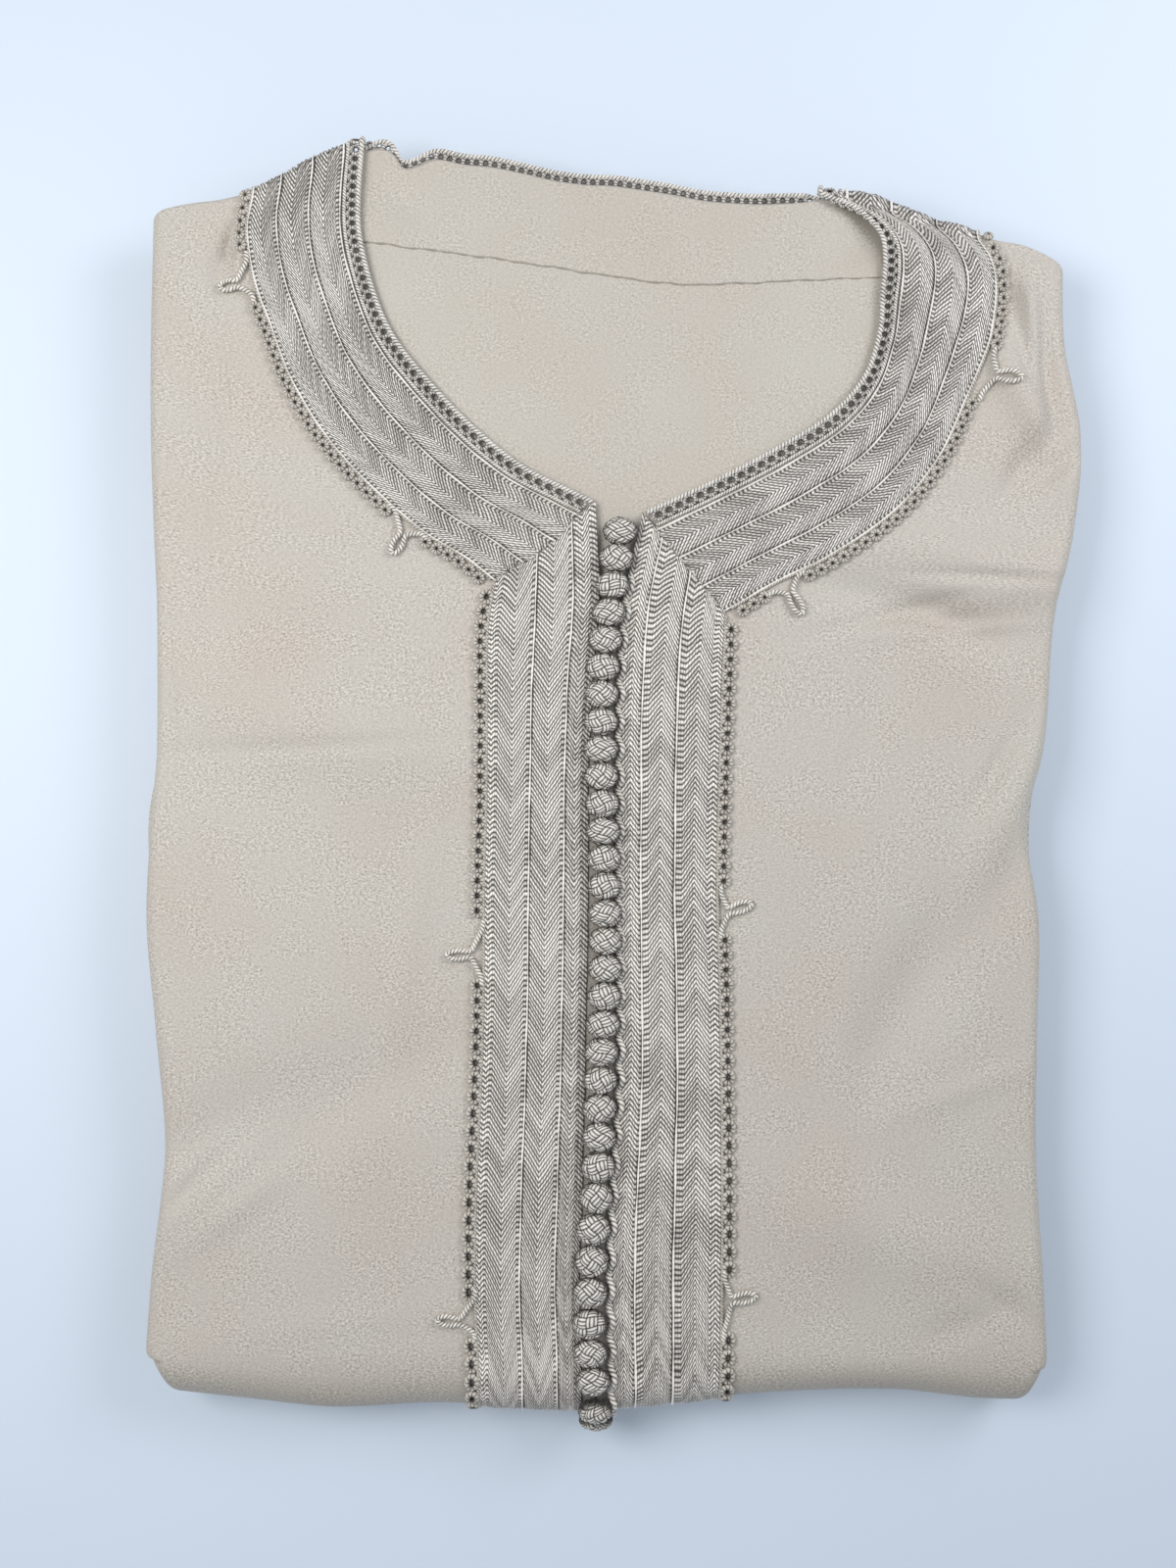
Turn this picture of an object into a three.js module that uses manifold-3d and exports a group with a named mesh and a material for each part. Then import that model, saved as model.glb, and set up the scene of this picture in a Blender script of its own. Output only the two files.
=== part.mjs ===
// A Moroccan kaftan, folded for a shelf and lying face up: front panels butted under a row of knotted
// buttons, woven braid round the neck and down both plackets, corded edging with drawn loops.
// Millimetres, +Z up, +Y towards the neck. The origin is the middle of the underside.
import * as THREE from "three";
import { mergeVertices } from "three/addons/utils/BufferGeometryUtils.js";
import Module from "manifold-3d";

const wasm = await Module();
wasm.setup();

// ---- Driving sizes ----
const STACK = 27; // height of the folded stack, to the outer face of the front cloth
const LEAF = 9; // height of one folded section
const CLOTH = 1.2; // wall of a cloth panel
const GAP = 0.3; // air between pieces that touch
const SIDE_TURN = LEAF / 2; // radius of the fold along each long side
const END_TURN = STACK / 2; // radius of the fold across the lower end
const UNDER_TURN = 8.8; // radius of the lower section's own fold, beneath the shoulders
const SHOULDER_TURN = 2.2; // radius of the shoulder edge, where front meets back
const TUCK = 4; // how far a turned side runs back inwards
const BRAID = { edge: 0.7, crown: 1.2 }; // height of a woven braid at its edge and along its middle
const EDGING = { low: 0.5, high: 1.2 }; // the neck edging, below and above the outer face of the cloth
const SCALLOP = { pitch: 4.9, height: 1.2, dip: 0.045, plain: 0.068 }; // picots of the outer edging
const LOOP_CORD = 1.6; // diameter of the drawn loops
const LOOP_CLEAR = 9.5; // the picots stop this far from the middle of a loop's root
const BUTTON = { across: 9.8, along: 8.8, high: 7.4, count: 34, first: 84.8 };
const BUTTON_SEGMENTS = { round: 8, high: 5 };
const DEGREES = Math.PI / 180;

// ---- Short tables ----
// Reach of each long side from the middle line, at heights y up the garment.
const SIDES = [
  { y: -212, left: 151, right: 141, lower: 0 },
  { y: -185, left: 156.3, right: 145, lower: -1 },
  { y: -160, left: 155.5, right: 143.5, lower: -1.5 },
  { y: -121, left: 150.5, right: 141.5, lower: 0.5 },
  { y: -80, left: 153.5, right: 142, lower: -0.5 },
  { y: -45, left: 156.5, right: 142.5, lower: -1 },
  { y: -11, left: 155, right: 138.5, lower: 2.5 },
  { y: 14, left: 153, right: 144, lower: 0.5 },
  { y: 60, left: 153, right: 148, lower: -1.5 },
  { y: 85, left: 154, right: 154, lower: -3 },
  { y: 118, left: 155, right: 156.7, lower: -4 },
  { y: 150, left: 155, right: 151, lower: -2 },
  { y: 196, left: 154, right: 151, lower: -2 },
];
// Reach of the lower fold, and of the hidden fold beneath the shoulders, at places x across.
const ENDS = [
  { x: -156, lower: -203.5, under: 186 },
  { x: -124, lower: -207, under: 188 },
  { x: -94, lower: -210, under: 189 },
  { x: -60, lower: -208.5, under: 190 },
  { x: -10, lower: -210, under: 188 },
  { x: 54, lower: -205, under: 184 },
  { x: 94, lower: -204, under: 177 },
  { x: 123, lower: -207, under: 173 },
  { x: 146, lower: -207.5, under: 168 },
];
// Line of the shoulder edge. Between the shoulders it runs clear above the back neck.
const SHOULDERS = [
  { x: -158, y: 188 },
  { x: -151, y: 192 },
  { x: -138, y: 192.8 },
  { x: -127, y: 195 },
  { x: -118, y: 198 },
  { x: -108, y: 202.6 },
  { x: -96, y: 208.5 },
  { x: -84, y: 214 },
  { x: -74, y: 217 },
  { x: -40, y: 217 },
  { x: 0, y: 212 },
  { x: 40, y: 206 },
  { x: 62, y: 201 },
  { x: 72, y: 196 },
  { x: 94, y: 190.5 },
  { x: 113, y: 185 },
  { x: 133, y: 179.5 },
  { x: 146, y: 176 },
  { x: 158, y: 169 },
];
// The trimmed band round the neck: inner and outer edge on the front face, over the shoulder edge and
// on the back face, with the height on the side fold that the front panel's row runs to.
const NECK = [
  { face: "front", ix: -6, iy: 95.4, ox: -43.2, oy: 65.7, side: 62 },
  { face: "front", ix: -15.2, iy: 99.7, ox: -53, oy: 74, side: 78 },
  { face: "front", ix: -30, iy: 107.3, ox: -66.3, oy: 82.2, side: 94 },
  { face: "front", ix: -46.5, iy: 120.5, ox: -82.8, oy: 96.4, side: 110 },
  { face: "front", ix: -61.4, iy: 136, ox: -99.3, oy: 114.5, side: 126 },
  { face: "front", ix: -73, iy: 150.8, ox: -111, oy: 134.3, side: 142 },
  { face: "front", ix: -79.5, iy: 165.7, ox: -118, oy: 152.5, side: 158 },
  { face: "front", ix: -83.8, iy: 183.8, ox: -123.4, oy: 167.3, side: 172 },
  { face: "front", ix: -84.2, iy: 197, ox: -126, oy: 184, side: 183 },
  { face: "edge", ix: -83, ox: -124 },
  { face: "back", ix: -76, iy: 206, ox: -108, oy: 180 },
  { face: "back", ix: -62, iy: 209, ox: -80, oy: 169 },
  { face: "back", ix: -38, iy: 209, ox: -46, oy: 166 },
  { face: "back", ix: -14, iy: 205, ox: -18, oy: 162 },
  { face: "back", ix: 12, iy: 201.5, ox: 10, oy: 158.5 },
  { face: "back", ix: 36, iy: 198, ox: 38, oy: 155.5 },
  { face: "back", ix: 55, iy: 196, ox: 72, oy: 155 },
  { face: "back", ix: 65, iy: 190, ox: 104, oy: 162 },
  { face: "edge", ix: 71, ox: 127 },
  { face: "front", ix: 81.2, iy: 188, ox: 131.3, oy: 168, side: 164 },
  { face: "front", ix: 87, iy: 180, ox: 131, oy: 155.8, side: 150 },
  { face: "front", ix: 88.8, iy: 167.3, ox: 127.4, oy: 142.6, side: 137 },
  { face: "front", ix: 88, iy: 152.5, ox: 120, oy: 126, side: 122 },
  { face: "front", ix: 83.2, iy: 137.6, ox: 110.9, oy: 107.3, side: 106 },
  { face: "front", ix: 72.3, iy: 125, ox: 96.4, oy: 89.1, side: 90 },
  { face: "front", ix: 55.8, iy: 114.5, ox: 74, oy: 73.3, side: 76 },
  { face: "front", ix: 36, iy: 104, ox: 55.8, oy: 64.4, side: 64 },
  { face: "front", ix: 9.6, iy: 91.7, ox: 40.3, oy: 55.1, side: 52 },
];
// Inner and outer edge of each placket's trim, from the neck corner down to the lower fold.
const PLACKETS = {
  left: [
    { ix: -6, iy: 95.4, ox: -43.2, oy: 65.7 },
    { ix: -5.6, iy: 65, ox: -45.9, oy: 51.8 },
    { ix: -8, iy: 32, ox: -45.9, oy: 32 },
    { ix: -9.2, iy: -1, ox: -45.9, oy: -1 },
    { ix: -9.2, iy: -34, ox: -46.9, oy: -34 },
    { ix: -9.8, iy: -67, ox: -46.9, oy: -67 },
    { ix: -10.4, iy: -100, ox: -47.9, oy: -100 },
    { ix: -11.2, iy: -133, ox: -49.5, oy: -133 },
    { ix: -12.2, iy: -166, ox: -49.8, oy: -166 },
    { ix: -11.4, iy: -192, ox: -48.8, oy: -192 },
  ],
  right: [
    { ix: 9.6, iy: 91.7, ox: 40.3, oy: 55.1 },
    { ix: 4.9, iy: 65, ox: 40.3, oy: 45.2 },
    { ix: 3.3, iy: 32, ox: 39.6, oy: 25.4 },
    { ix: 3.3, iy: -1, ox: 38.6, oy: -1 },
    { ix: 3.3, iy: -34, ox: 38, oy: -34 },
    { ix: 3.6, iy: -67, ox: 39, oy: -67 },
    { ix: 3.3, iy: -100, ox: 39.6, oy: -100 },
    { ix: 1.3, iy: -133, ox: 40, oy: -133 },
    { ix: 0, iy: -166, ox: 40, oy: -166 },
    { ix: 0.7, iy: -192, ox: 39.6, oy: -192 },
  ],
};
const PLACKET_TURN = { steps: 8, angle: 152 * DEGREES }; // the trim goes this far round the lower fold
const SHOULDER_TURNS = [0, 36, 72, 108, 144, 180].map((degrees) => degrees * DEGREES);
// Middle line of the button row, which is also the line where the two fronts meet.
const BUTTON_LINE = [
  { y: -235, x: -5.6 },
  { y: -206, x: -5.9 },
  { y: -180, x: -7.9 },
  { y: -148, x: -6.7 },
  { y: -127, x: -5 },
  { y: -95, x: -4.3 },
  { y: -60, x: -2.6 },
  { y: -24, x: -3 },
  { y: 10, x: -4 },
  { y: 40, x: -3.4 },
  { y: 66, x: -0.3 },
  { y: 85, x: 2.3 },
];
const BUTTON_PITCH = [
  { y: -240, step: 9.2 },
  { y: -190, step: 9.2 },
  { y: -160, step: 10.4 },
  { y: -130, step: 10.3 },
  { y: -95, step: 9.3 },
  { y: 85, step: 8.95 },
];
// Soft folds pressed into the front: middle, direction in degrees, half length, half width, height.
const FOLDS = [
  { x: 96, y: 64, turn: 12, long: 34, wide: 7, high: -1.6 },
  { x: 118, y: 78, turn: -8, long: 30, wide: 9, high: 1.6 },
  { x: 125, y: 50, turn: 14, long: 24, wide: 8, high: 1.2 },
  { x: 104, y: -62, turn: 60, long: 46, wide: 16, high: -1.8 },
  { x: 128, y: -12, turn: 68, long: 36, wide: 9, high: 1.8 },
  { x: 136, y: 130, turn: 118, long: 26, wide: 7, high: 1.6 },
  { x: -129, y: 180, turn: 78, long: 15, wide: 4, high: -1.4 },
  { x: -95, y: 20, turn: -12, long: 50, wide: 18, high: 1.4 },
  { x: -110, y: -110, turn: 24, long: 55, wide: 20, high: -1.2 },
  { x: 95, y: -150, turn: -20, long: 45, wide: 18, high: 1.2 },
];
// Seam line of the back neck facing.
const FACING_SEAM = [
  { x: -104, y: 184 },
  { x: -83, y: 182 },
  { x: -42, y: 176.6 },
  { x: 4.6, y: 169.6 },
  { x: 24, y: 167.6 },
  { x: 67, y: 169.3 },
  { x: 104, y: 171 },
];
// Shares of the band's width: neck edging, three braids, outer edging.
const NECK_SHARES = { edging: [0, 0.12], inner: [0.155, 0.4], middle: [0.408, 0.655], outer: [0.663, 0.9] };
const PLACKET_SHARES = { inner: [0.02, 0.2], middle: [0.208, 0.505], outer: [0.513, 0.895] };
const OUTER_EDGING = [0.908, 1];
const CLOTH_EDGE = 0.135; // the panels end at this share of the neck band
// Drawn loops of the outer edging: root on the cloth, way it points in degrees, reach, width at the root.
const LOOPS = [
  { side: "left", x: -121.5, y: 170.5, turn: 180, reach: 8.5, root: 9 },
  { side: "left", x: -69.5, y: 86, turn: 238, reach: 10.5, root: 9 },
  { side: "left", x: -43.5, y: -56, turn: 182, reach: 13, root: 14 },
  { side: "left", x: -46.5, y: -175, turn: 178, reach: 13.5, root: 12 },
  { side: "right", x: 124.5, y: 137, turn: 4, reach: 10.5, root: 10 },
  { side: "right", x: 61, y: 69, turn: -62, reach: 11, root: 8 },
  { side: "right", x: 36, y: -39.5, turn: 12, reach: 10, root: 12 },
  { side: "right", x: 37.2, y: -171, turn: 10, reach: 10.5, root: 12.5 },
];

// ---- Curves through the tables ----
const clamp = (v, low, high) => Math.min(high, Math.max(low, v));
const mix = (a, b, share) => a + (b - a) * share;
const smooth = (share) => {
  const s = clamp(share, 0, 1);
  return s * s * (3 - 2 * s);
};

// A smooth curve through one column of a table, held level past its ends.
function curve(rows, key, column) {
  const at = rows.map((row) => row[key]);
  const value = rows.map((row) => row[column]);
  const last = at.length - 1;
  const slope = at.map((_, i) => {
    const before = Math.max(i - 1, 0);
    const after = Math.min(i + 1, last);
    return (value[after] - value[before]) / (at[after] - at[before]);
  });
  return (place) => {
    let i = 0;
    while (i < last - 1 && place > at[i + 1]) i += 1;
    const span = at[i + 1] - at[i];
    const u = clamp((place - at[i]) / span, 0, 1);
    const rise = value[i + 1] - value[i];
    const bend = span * (slope[i] * (1 - u) - slope[i + 1] * u) + rise * (2 * u - 1);
    return value[i] + rise * u + u * (1 - u) * bend;
  };
}

const sideReach = { left: curve(SIDES, "y", "left"), right: curve(SIDES, "y", "right") };
const lowerReach = curve(SIDES, "y", "lower");
const endLine = curve(ENDS, "x", "lower");
const underLine = curve(ENDS, "x", "under");
const shoulderLine = curve(SHOULDERS, "x", "y");
const buttonLine = curve(BUTTON_LINE, "y", "x");
const buttonPitch = curve(BUTTON_PITCH, "y", "step");
const seamLine = curve(FACING_SEAM, "x", "y");
const SIGN = { left: -1, right: 1 };

// ---- The skin of the bundle ----
// Height of the pressed folds at a place on the front.
function foldRelief(x, y) {
  const inside = smooth((shoulderLine(x) - y - 4) / 14) * smooth((y + 192) / 20);
  const height = FOLDS.reduce((sum, fold) => {
    const c = Math.cos(fold.turn * DEGREES);
    const s = Math.sin(fold.turn * DEGREES);
    const along = ((x - fold.x) * c + (y - fold.y) * s) / fold.long;
    const across = ((y - fold.y) * c - (x - fold.x) * s) / fold.wide;
    return sum + fold.high * Math.exp(-along * along - across * across);
  }, 0);
  return height * inside;
}

// How far the back is lifted by what is folded beneath it.
const backLift = (x, y) => 1.4 * Math.exp(-(((x - 2) / 70) ** 2) - ((y - 135) / 55) ** 2);
const endCentre = (x) => endLine(x) + END_TURN;
const shoulderStart = (x) => shoulderLine(x) - SHOULDER_TURN;

// A point of the outer face at cloth coordinates: x across, and run along the cloth, which is the height y
// on the front. Less than the end's centre it goes round the lower fold; past the shoulder start it goes
// over the shoulder edge and down the back's outer face. h lifts it off the face.
function skin(x, run, h) {
  const start = shoulderStart(x);
  if (run > start) {
    const turn = (run - start) / SHOULDER_TURN;
    if (turn < Math.PI) {
      const radius = SHOULDER_TURN + h;
      const z = STACK - SHOULDER_TURN + radius * Math.cos(turn);
      return new THREE.Vector3(x, start + radius * Math.sin(turn), z);
    }
    const y = start - (run - start - Math.PI * SHOULDER_TURN);
    return new THREE.Vector3(x, y, STACK - 2 * SHOULDER_TURN - h + backLift(x, y));
  }
  const centre = endCentre(x);
  if (run < centre) {
    const turn = (centre - run) / END_TURN;
    const radius = END_TURN + h;
    return new THREE.Vector3(x, centre - radius * Math.sin(turn), END_TURN + radius * Math.cos(turn));
  }
  return new THREE.Vector3(x, run, STACK + h + foldRelief(x, run));
}

// The run that puts a point at height y on the back's outer face.
const backRun = (x, y) => 2 * shoulderStart(x) + Math.PI * SHOULDER_TURN - y;

function outward(x, run, h) {
  return skin(x, run, h + 1).sub(skin(x, run, h)).normalize();
}

// ---- Meshes from grids ----
function geometryOf(points, triangles) {
  const geometry = new THREE.BufferGeometry();
  geometry.setAttribute("position", new THREE.Float32BufferAttribute(points.flatMap((p) => [p.x, p.y, p.z]), 3));
  geometry.setIndex(triangles);
  return geometry;
}

// A closed wall between an outer and an inner grid of points, each [row][column].
function wall(outer, inner) {
  const rows = outer.length;
  const columns = outer[0].length;
  const points = [...outer.flat(), ...inner.flat()];
  const at = (layer, row, column) => layer * rows * columns + row * columns + column;
  const triangles = [];
  const quad = (a, b, c, d) => triangles.push(a, b, c, a, c, d);
  for (let i = 0; i < rows - 1; i += 1)
    for (let j = 0; j < columns - 1; j += 1) {
      quad(at(0, i, j), at(0, i + 1, j), at(0, i + 1, j + 1), at(0, i, j + 1));
      quad(at(1, i, j), at(1, i, j + 1), at(1, i + 1, j + 1), at(1, i + 1, j));
    }
  for (let i = 0; i < rows - 1; i += 1) {
    quad(at(0, i, 0), at(1, i, 0), at(1, i + 1, 0), at(0, i + 1, 0));
    quad(at(0, i, columns - 1), at(0, i + 1, columns - 1), at(1, i + 1, columns - 1), at(1, i, columns - 1));
  }
  for (let j = 0; j < columns - 1; j += 1) {
    quad(at(0, 0, j), at(0, 0, j + 1), at(1, 0, j + 1), at(1, 0, j));
    quad(at(0, rows - 1, j), at(1, rows - 1, j), at(1, rows - 1, j + 1), at(0, rows - 1, j + 1));
  }
  return facingOut(geometryOf(points, triangles));
}

// A closed solid through rings of points, each ring with the same number of them.
function loft(rings) {
  const count = rings[0].length;
  const points = rings.flat();
  const triangles = [];
  for (let i = 0; i < rings.length - 1; i += 1)
    for (let j = 0; j < count; j += 1) {
      const a = i * count + j;
      const b = i * count + ((j + 1) % count);
      triangles.push(a, b, b + count, a, b + count, a + count);
    }
  for (const [ring, flip] of [[0, true], [rings.length - 1, false]]) {
    const middle = points.length;
    const centre = rings[ring].reduce((sum, p) => sum.add(p), new THREE.Vector3()).divideScalar(count);
    points.push(centre);
    for (let j = 0; j < count; j += 1) {
      const a = ring * count + j;
      const b = ring * count + ((j + 1) % count);
      triangles.push(...(flip ? [middle, b, a] : [middle, a, b]));
    }
  }
  return facingOut(geometryOf(points, triangles));
}

// Turns a closed mesh right way round, by the sign of its volume.
function facingOut(geometry) {
  const position = geometry.getAttribute("position");
  const index = [...geometry.getIndex().array];
  const [a, b, c] = [new THREE.Vector3(), new THREE.Vector3(), new THREE.Vector3()];
  let volume = 0;
  for (let i = 0; i < index.length; i += 3) {
    a.fromBufferAttribute(position, index[i]);
    b.fromBufferAttribute(position, index[i + 1]);
    c.fromBufferAttribute(position, index[i + 2]);
    volume += a.dot(b.cross(c));
  }
  if (volume < 0) for (let i = 0; i < index.length; i += 3) [index[i + 1], index[i + 2]] = [index[i + 2], index[i + 1]];
  return geometry.setIndex(index);
}

function solidOf(geometry) {
  const merged = mergeVertices(geometry, 1e-4);
  const vertProperties = new Float32Array(merged.getAttribute("position").array);
  return new wasm.Manifold(new wasm.Mesh({ numProp: 3, vertProperties, triVerts: new Uint32Array(merged.index.array) }));
}

function geometryFrom(solid) {
  const mesh = solid.getMesh();
  const geometry = new THREE.BufferGeometry();
  geometry.setAttribute("position", new THREE.Float32BufferAttribute(mesh.vertProperties, 3));
  return geometry.setIndex([...mesh.triVerts]);
}

// ---- The band round the neck ----
// A band as rows of cloth coordinates: inner x and run, outer x and run.
const neckBand = NECK.flatMap((row) => {
  if (row.face === "back") return [[row.ix, backRun(row.ix, row.iy), row.ox, backRun(row.ox, row.oy)]];
  if (row.face === "front") return [[row.ix, row.iy, row.ox, row.oy]];
  const turns = row.ix < 0 ? SHOULDER_TURNS : [...SHOULDER_TURNS].reverse();
  return turns.map((turn) =>
    [row.ix, shoulderStart(row.ix) + turn * SHOULDER_TURN, row.ox, shoulderStart(row.ox) + turn * SHOULDER_TURN],
  );
});

// ---- Cloth panels ----
const FLAT_SHARES = [0, 0.12, 0.25, 0.38, 0.5, 0.62, 0.75, 0.88, 1];
const SIDE_ANGLES = [45, 90, 135, 180].map((degrees) => degrees * DEGREES);

// Crosswise place on a front panel: a share of its flat part, then round the side fold and tucked in.
function acrossFront(side, row, column, h) {
  const reach = row.reach;
  const turn = row.turn;
  const flatEnd = SIGN[side] * (reach - turn);
  if (column < FLAT_SHARES.length) {
    const share = FLAT_SHARES[column];
    return { x: mix(row.x, flatEnd, share), y: mix(row.y, row.side, share), deep: -h, angle: 0 };
  }
  const angle = SIDE_ANGLES[Math.min(column - FLAT_SHARES.length, SIDE_ANGLES.length - 1)];
  const tucked = column === FLAT_SHARES.length + SIDE_ANGLES.length ? TUCK : 0;
  const x = SIGN[side] * (reach - turn - tucked + (turn + h) * Math.sin(angle));
  return { x, y: row.side, deep: turn - (turn + h) * Math.cos(angle), angle };
}

// Lengthwise place: each zone of the cloth's way round the bundle turns a crosswise place into a point.
const ZONES = {
  shoulder: (p, row, h) => {
    const radius = SHOULDER_TURN + h;
    const drop = radius * (1 - Math.cos(row.angle)) * Math.cos(p.angle / 2);
    return new THREE.Vector3(p.x, shoulderStart(p.x) + radius * Math.sin(row.angle), STACK - p.deep - drop);
  },
  top: (p) => new THREE.Vector3(p.x, p.y, STACK - p.deep + (p.angle ? 0 : foldRelief(p.x, p.y))),
  end: (p, row) => {
    const radius = END_TURN - p.deep;
    const z = END_TURN + radius * Math.cos(row.angle);
    return new THREE.Vector3(p.x, endCentre(p.x) - radius * Math.sin(row.angle), z);
  },
  under: (p) => new THREE.Vector3(p.x, p.y, p.deep),
  fold: (p, row) => {
    const radius = UNDER_TURN - p.deep;
    const y = underLine(p.x) - UNDER_TURN + radius * Math.sin(row.angle) - (row.back ?? 0);
    return new THREE.Vector3(p.x, y, UNDER_TURN - radius * Math.cos(row.angle));
  },
};

function bandPoint(row, share) {
  return { x: mix(row.ix, row.ox, share), y: mix(row.iy, row.oy, share) };
}

// The rows of a front panel, from the shoulder seam down, round the lower fold and along the underside.
function frontRows(side) {
  const reach = sideReach[side];
  const neck = NECK.filter((row) => row.face === "front" && SIGN[side] * row.ix > 0);
  if (side === "left") neck.reverse();
  const shoulderX = NECK.find((row) => row.face === "edge" && SIGN[side] * row.ix > 0);
  const edgeX = mix(shoulderX.ix, shoulderX.ox, CLOTH_EDGE);
  const common = { turn: SIDE_TURN };
  const seam = side === "left" ? 190 : 172;
  const rows = [86, 57, 28, 0].map((degrees) => ({
    ...common, zone: "shoulder", angle: degrees * DEGREES, x: edgeX, y: 0, side: seam, reach: reach(seam),
  }));
  for (const row of neck)
    rows.push({ ...common, zone: "top", ...bandPoint(row, CLOTH_EDGE), side: row.side, reach: reach(row.side) });
  const inner = (y) => buttonLine(y) + SIGN[side] * GAP;
  const corner = neck.at(-1).side;
  const placketTop = side === "left" ? [{ x: -6, y: 82 }, { x: -5.8, y: 70 }] : [{ x: 8.6, y: 76 }, { x: 5, y: 66 }];
  placketTop.forEach(({ x, y }, i) => {
    const height = corner - 8 - 12 * i;
    rows.push({ ...common, zone: "top", x, y, side: height, reach: reach(height) });
  });
  [50, 28, 6, -12, -38, -66, -94, -121, -150, -175].forEach((y, i) => {
    const height = Math.min(y, corner - 26 - 8 * i);
    rows.push({ ...common, zone: "top", x: inner(y), y, side: height, reach: reach(height) });
  });
  const END_SIDE = -200;
  for (let i = 0; i <= 8; i += 1)
    rows.push({
      ...common, zone: "end", angle: (i * Math.PI) / 8, x: inner(-206), y: 0, side: END_SIDE, reach: reach(END_SIDE),
    });
  for (const y of [-188, -150, -110, -60, -10, 50, 110, 145]) {
    const turn = y > 120 ? 3.4 : SIDE_TURN;
    rows.push({ zone: "under", turn, x: inner(-206), y, side: y, reach: reach(y) + lowerReach(y) });
  }
  for (let i = 0; i <= 7; i += 1)
    rows.push({
      zone: "fold", turn: 2.4, angle: (Math.min(i, 6) * Math.PI) / 6, back: i === 7 ? 3 : 0,
      x: inner(-206), y: 0, side: 180, reach: reach(180) - 3,
    });
  return rows;
}

function frontPanel(side) {
  const columns = FLAT_SHARES.length + SIDE_ANGLES.length + 1;
  const rows = frontRows(side);
  const face = (h) =>
    rows.map((row) =>
      Array.from({ length: columns }, (_, column) => ZONES[row.zone](acrossFront(side, row, column, h), row, h)),
    );
  return wall(face(0), face(-CLOTH));
}

// The neck edge of the back, at the band's own rows, from shoulder edge to shoulder edge.
const backEdge = neckBand
  .map(([ix, iRun, ox, oRun]) => ({ x: mix(ix, ox, CLOTH_EDGE), run: mix(iRun, oRun, CLOTH_EDGE) }))
  .filter(({ x, run }) => run > shoulderStart(x) + 3 * SHOULDER_TURN);
const NECK_SIDES = { left: backEdge[0].x, right: backEdge.at(-1).x };
const isShoulder = (x) => x <= NECK_SIDES.left || x >= NECK_SIDES.right;

function backTop(x) {
  const i = backEdge.findIndex((place) => place.x > x);
  if (isShoulder(x) || i < 1) return shoulderStart(x);
  const [p, q] = [backEdge[i - 1], backEdge[i]];
  const run = mix(p.run, q.run, (x - p.x) / (q.x - p.x));
  return 2 * shoulderStart(x) + Math.PI * SHOULDER_TURN - run;
}

// The back, seen inside the neck: up to the shoulder seams and the back neck edge, down under the fronts.
function backPanel() {
  const LOWER_EDGE = 42;
  const STEP = 0.4;
  const { left, right } = NECK_SIDES;
  const across = [
    -140, -132, -125, -119, -113, -106, -99, left, left + STEP, ...backEdge.slice(1, -1).map(({ x }) => x),
    right - STEP, right, 86, 94, 104, 113, 120, 127, 136,
  ];
  const column = (x, h) => {
    const start = shoulderStart(x);
    const top = Math.min(backTop(x), start - (isShoulder(x) ? 0 : 0.05));
    const edge = [95, 125, 155].map((degrees, i) =>
      isShoulder(x) ? skin(x, start + degrees * DEGREES * SHOULDER_TURN, h) : skin(x, backRun(x, top - i * 0.3), h),
    );
    const flats = [0.025, 0.2, 0.45, 0.75, 1].map((share) => skin(x, backRun(x, mix(top, LOWER_EDGE, share)), h));
    return [...edge, ...flats];
  };
  return wall(across.map((x) => column(x, 0)), across.map((x) => column(x, -CLOTH)));
}

// The facing that finishes the inside of the back neck, from its edge down to the seam line.
function backFacing() {
  const THICK = 0.8;
  const across = [-99, -88, -76, -60, -40, -16, 10, 34, 54, 66, 78, 90, 99];
  const column = (x, h) => {
    const top = Math.min(backTop(x), shoulderStart(x) - 2.4) - 0.3;
    return [0, 0.33, 0.66, 1].map((share) => {
      const y = mix(top, seamLine(x), share);
      return skin(x, backRun(x, y), -CLOTH - GAP - h);
    });
  };
  return wall(across.map((x) => column(x, THICK)), across.map((x) => column(x, 0)));
}

// ---- Trims: strips that follow a band ----
function placketBand(side) {
  const rows = PLACKETS[side].map((row) => [row.ix, row.iy, row.ox, row.oy]);
  const [ix, , ox] = rows.at(-1);
  for (let i = 0; i <= PLACKET_TURN.steps; i += 1) {
    const arc = (END_TURN * PLACKET_TURN.angle * i) / PLACKET_TURN.steps;
    rows.push([ix, endCentre(ix) - arc, ox, endCentre(ox) - arc]);
  }
  return rows;
}

// A point lifted off a band, at a row number that may fall between rows, and a share of its width.
function bandSkin(band, place, share, h) {
  const i = clamp(Math.floor(place), 0, band.length - 2);
  const at = (c) => mix(band[i][c], band[i + 1][c], place - i);
  return skin(mix(at(0), at(2), share), mix(at(1), at(3), share), h);
}

// A closed strip along a band, through a ring of shares and heights at each row.
function strip(band, profile, trimFirst, trimLast) {
  const places = band.map((_, i) => clamp(i, trimFirst, band.length - 1 - trimLast));
  return loft(places.map((place) => profile.map(([share, h]) => bandSkin(band, place, share, h))));
}

// A woven braid: flat below, crowned above, with upright edges.
function braid(band, [from, to], trimFirst, trimLast) {
  const [low, edge, crown] = [GAP, GAP + BRAID.edge, GAP + BRAID.crown];
  const profile = [[from, low], [to, low], [to, edge], [mix(from, to, 0.5), crown], [from, edge]];
  return strip(band, profile, trimFirst, trimLast);
}

// The openwork edging round the neck opening, as a plain strip beyond the cloth's edge.
function neckEdging([from, to]) {
  const { low, high } = EDGING;
  return strip(neckBand, [[from, -low], [to, -low], [to, high], [mix(from, to, 0.5), high + 0.2], [from, high]], 0, 0);
}

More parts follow.
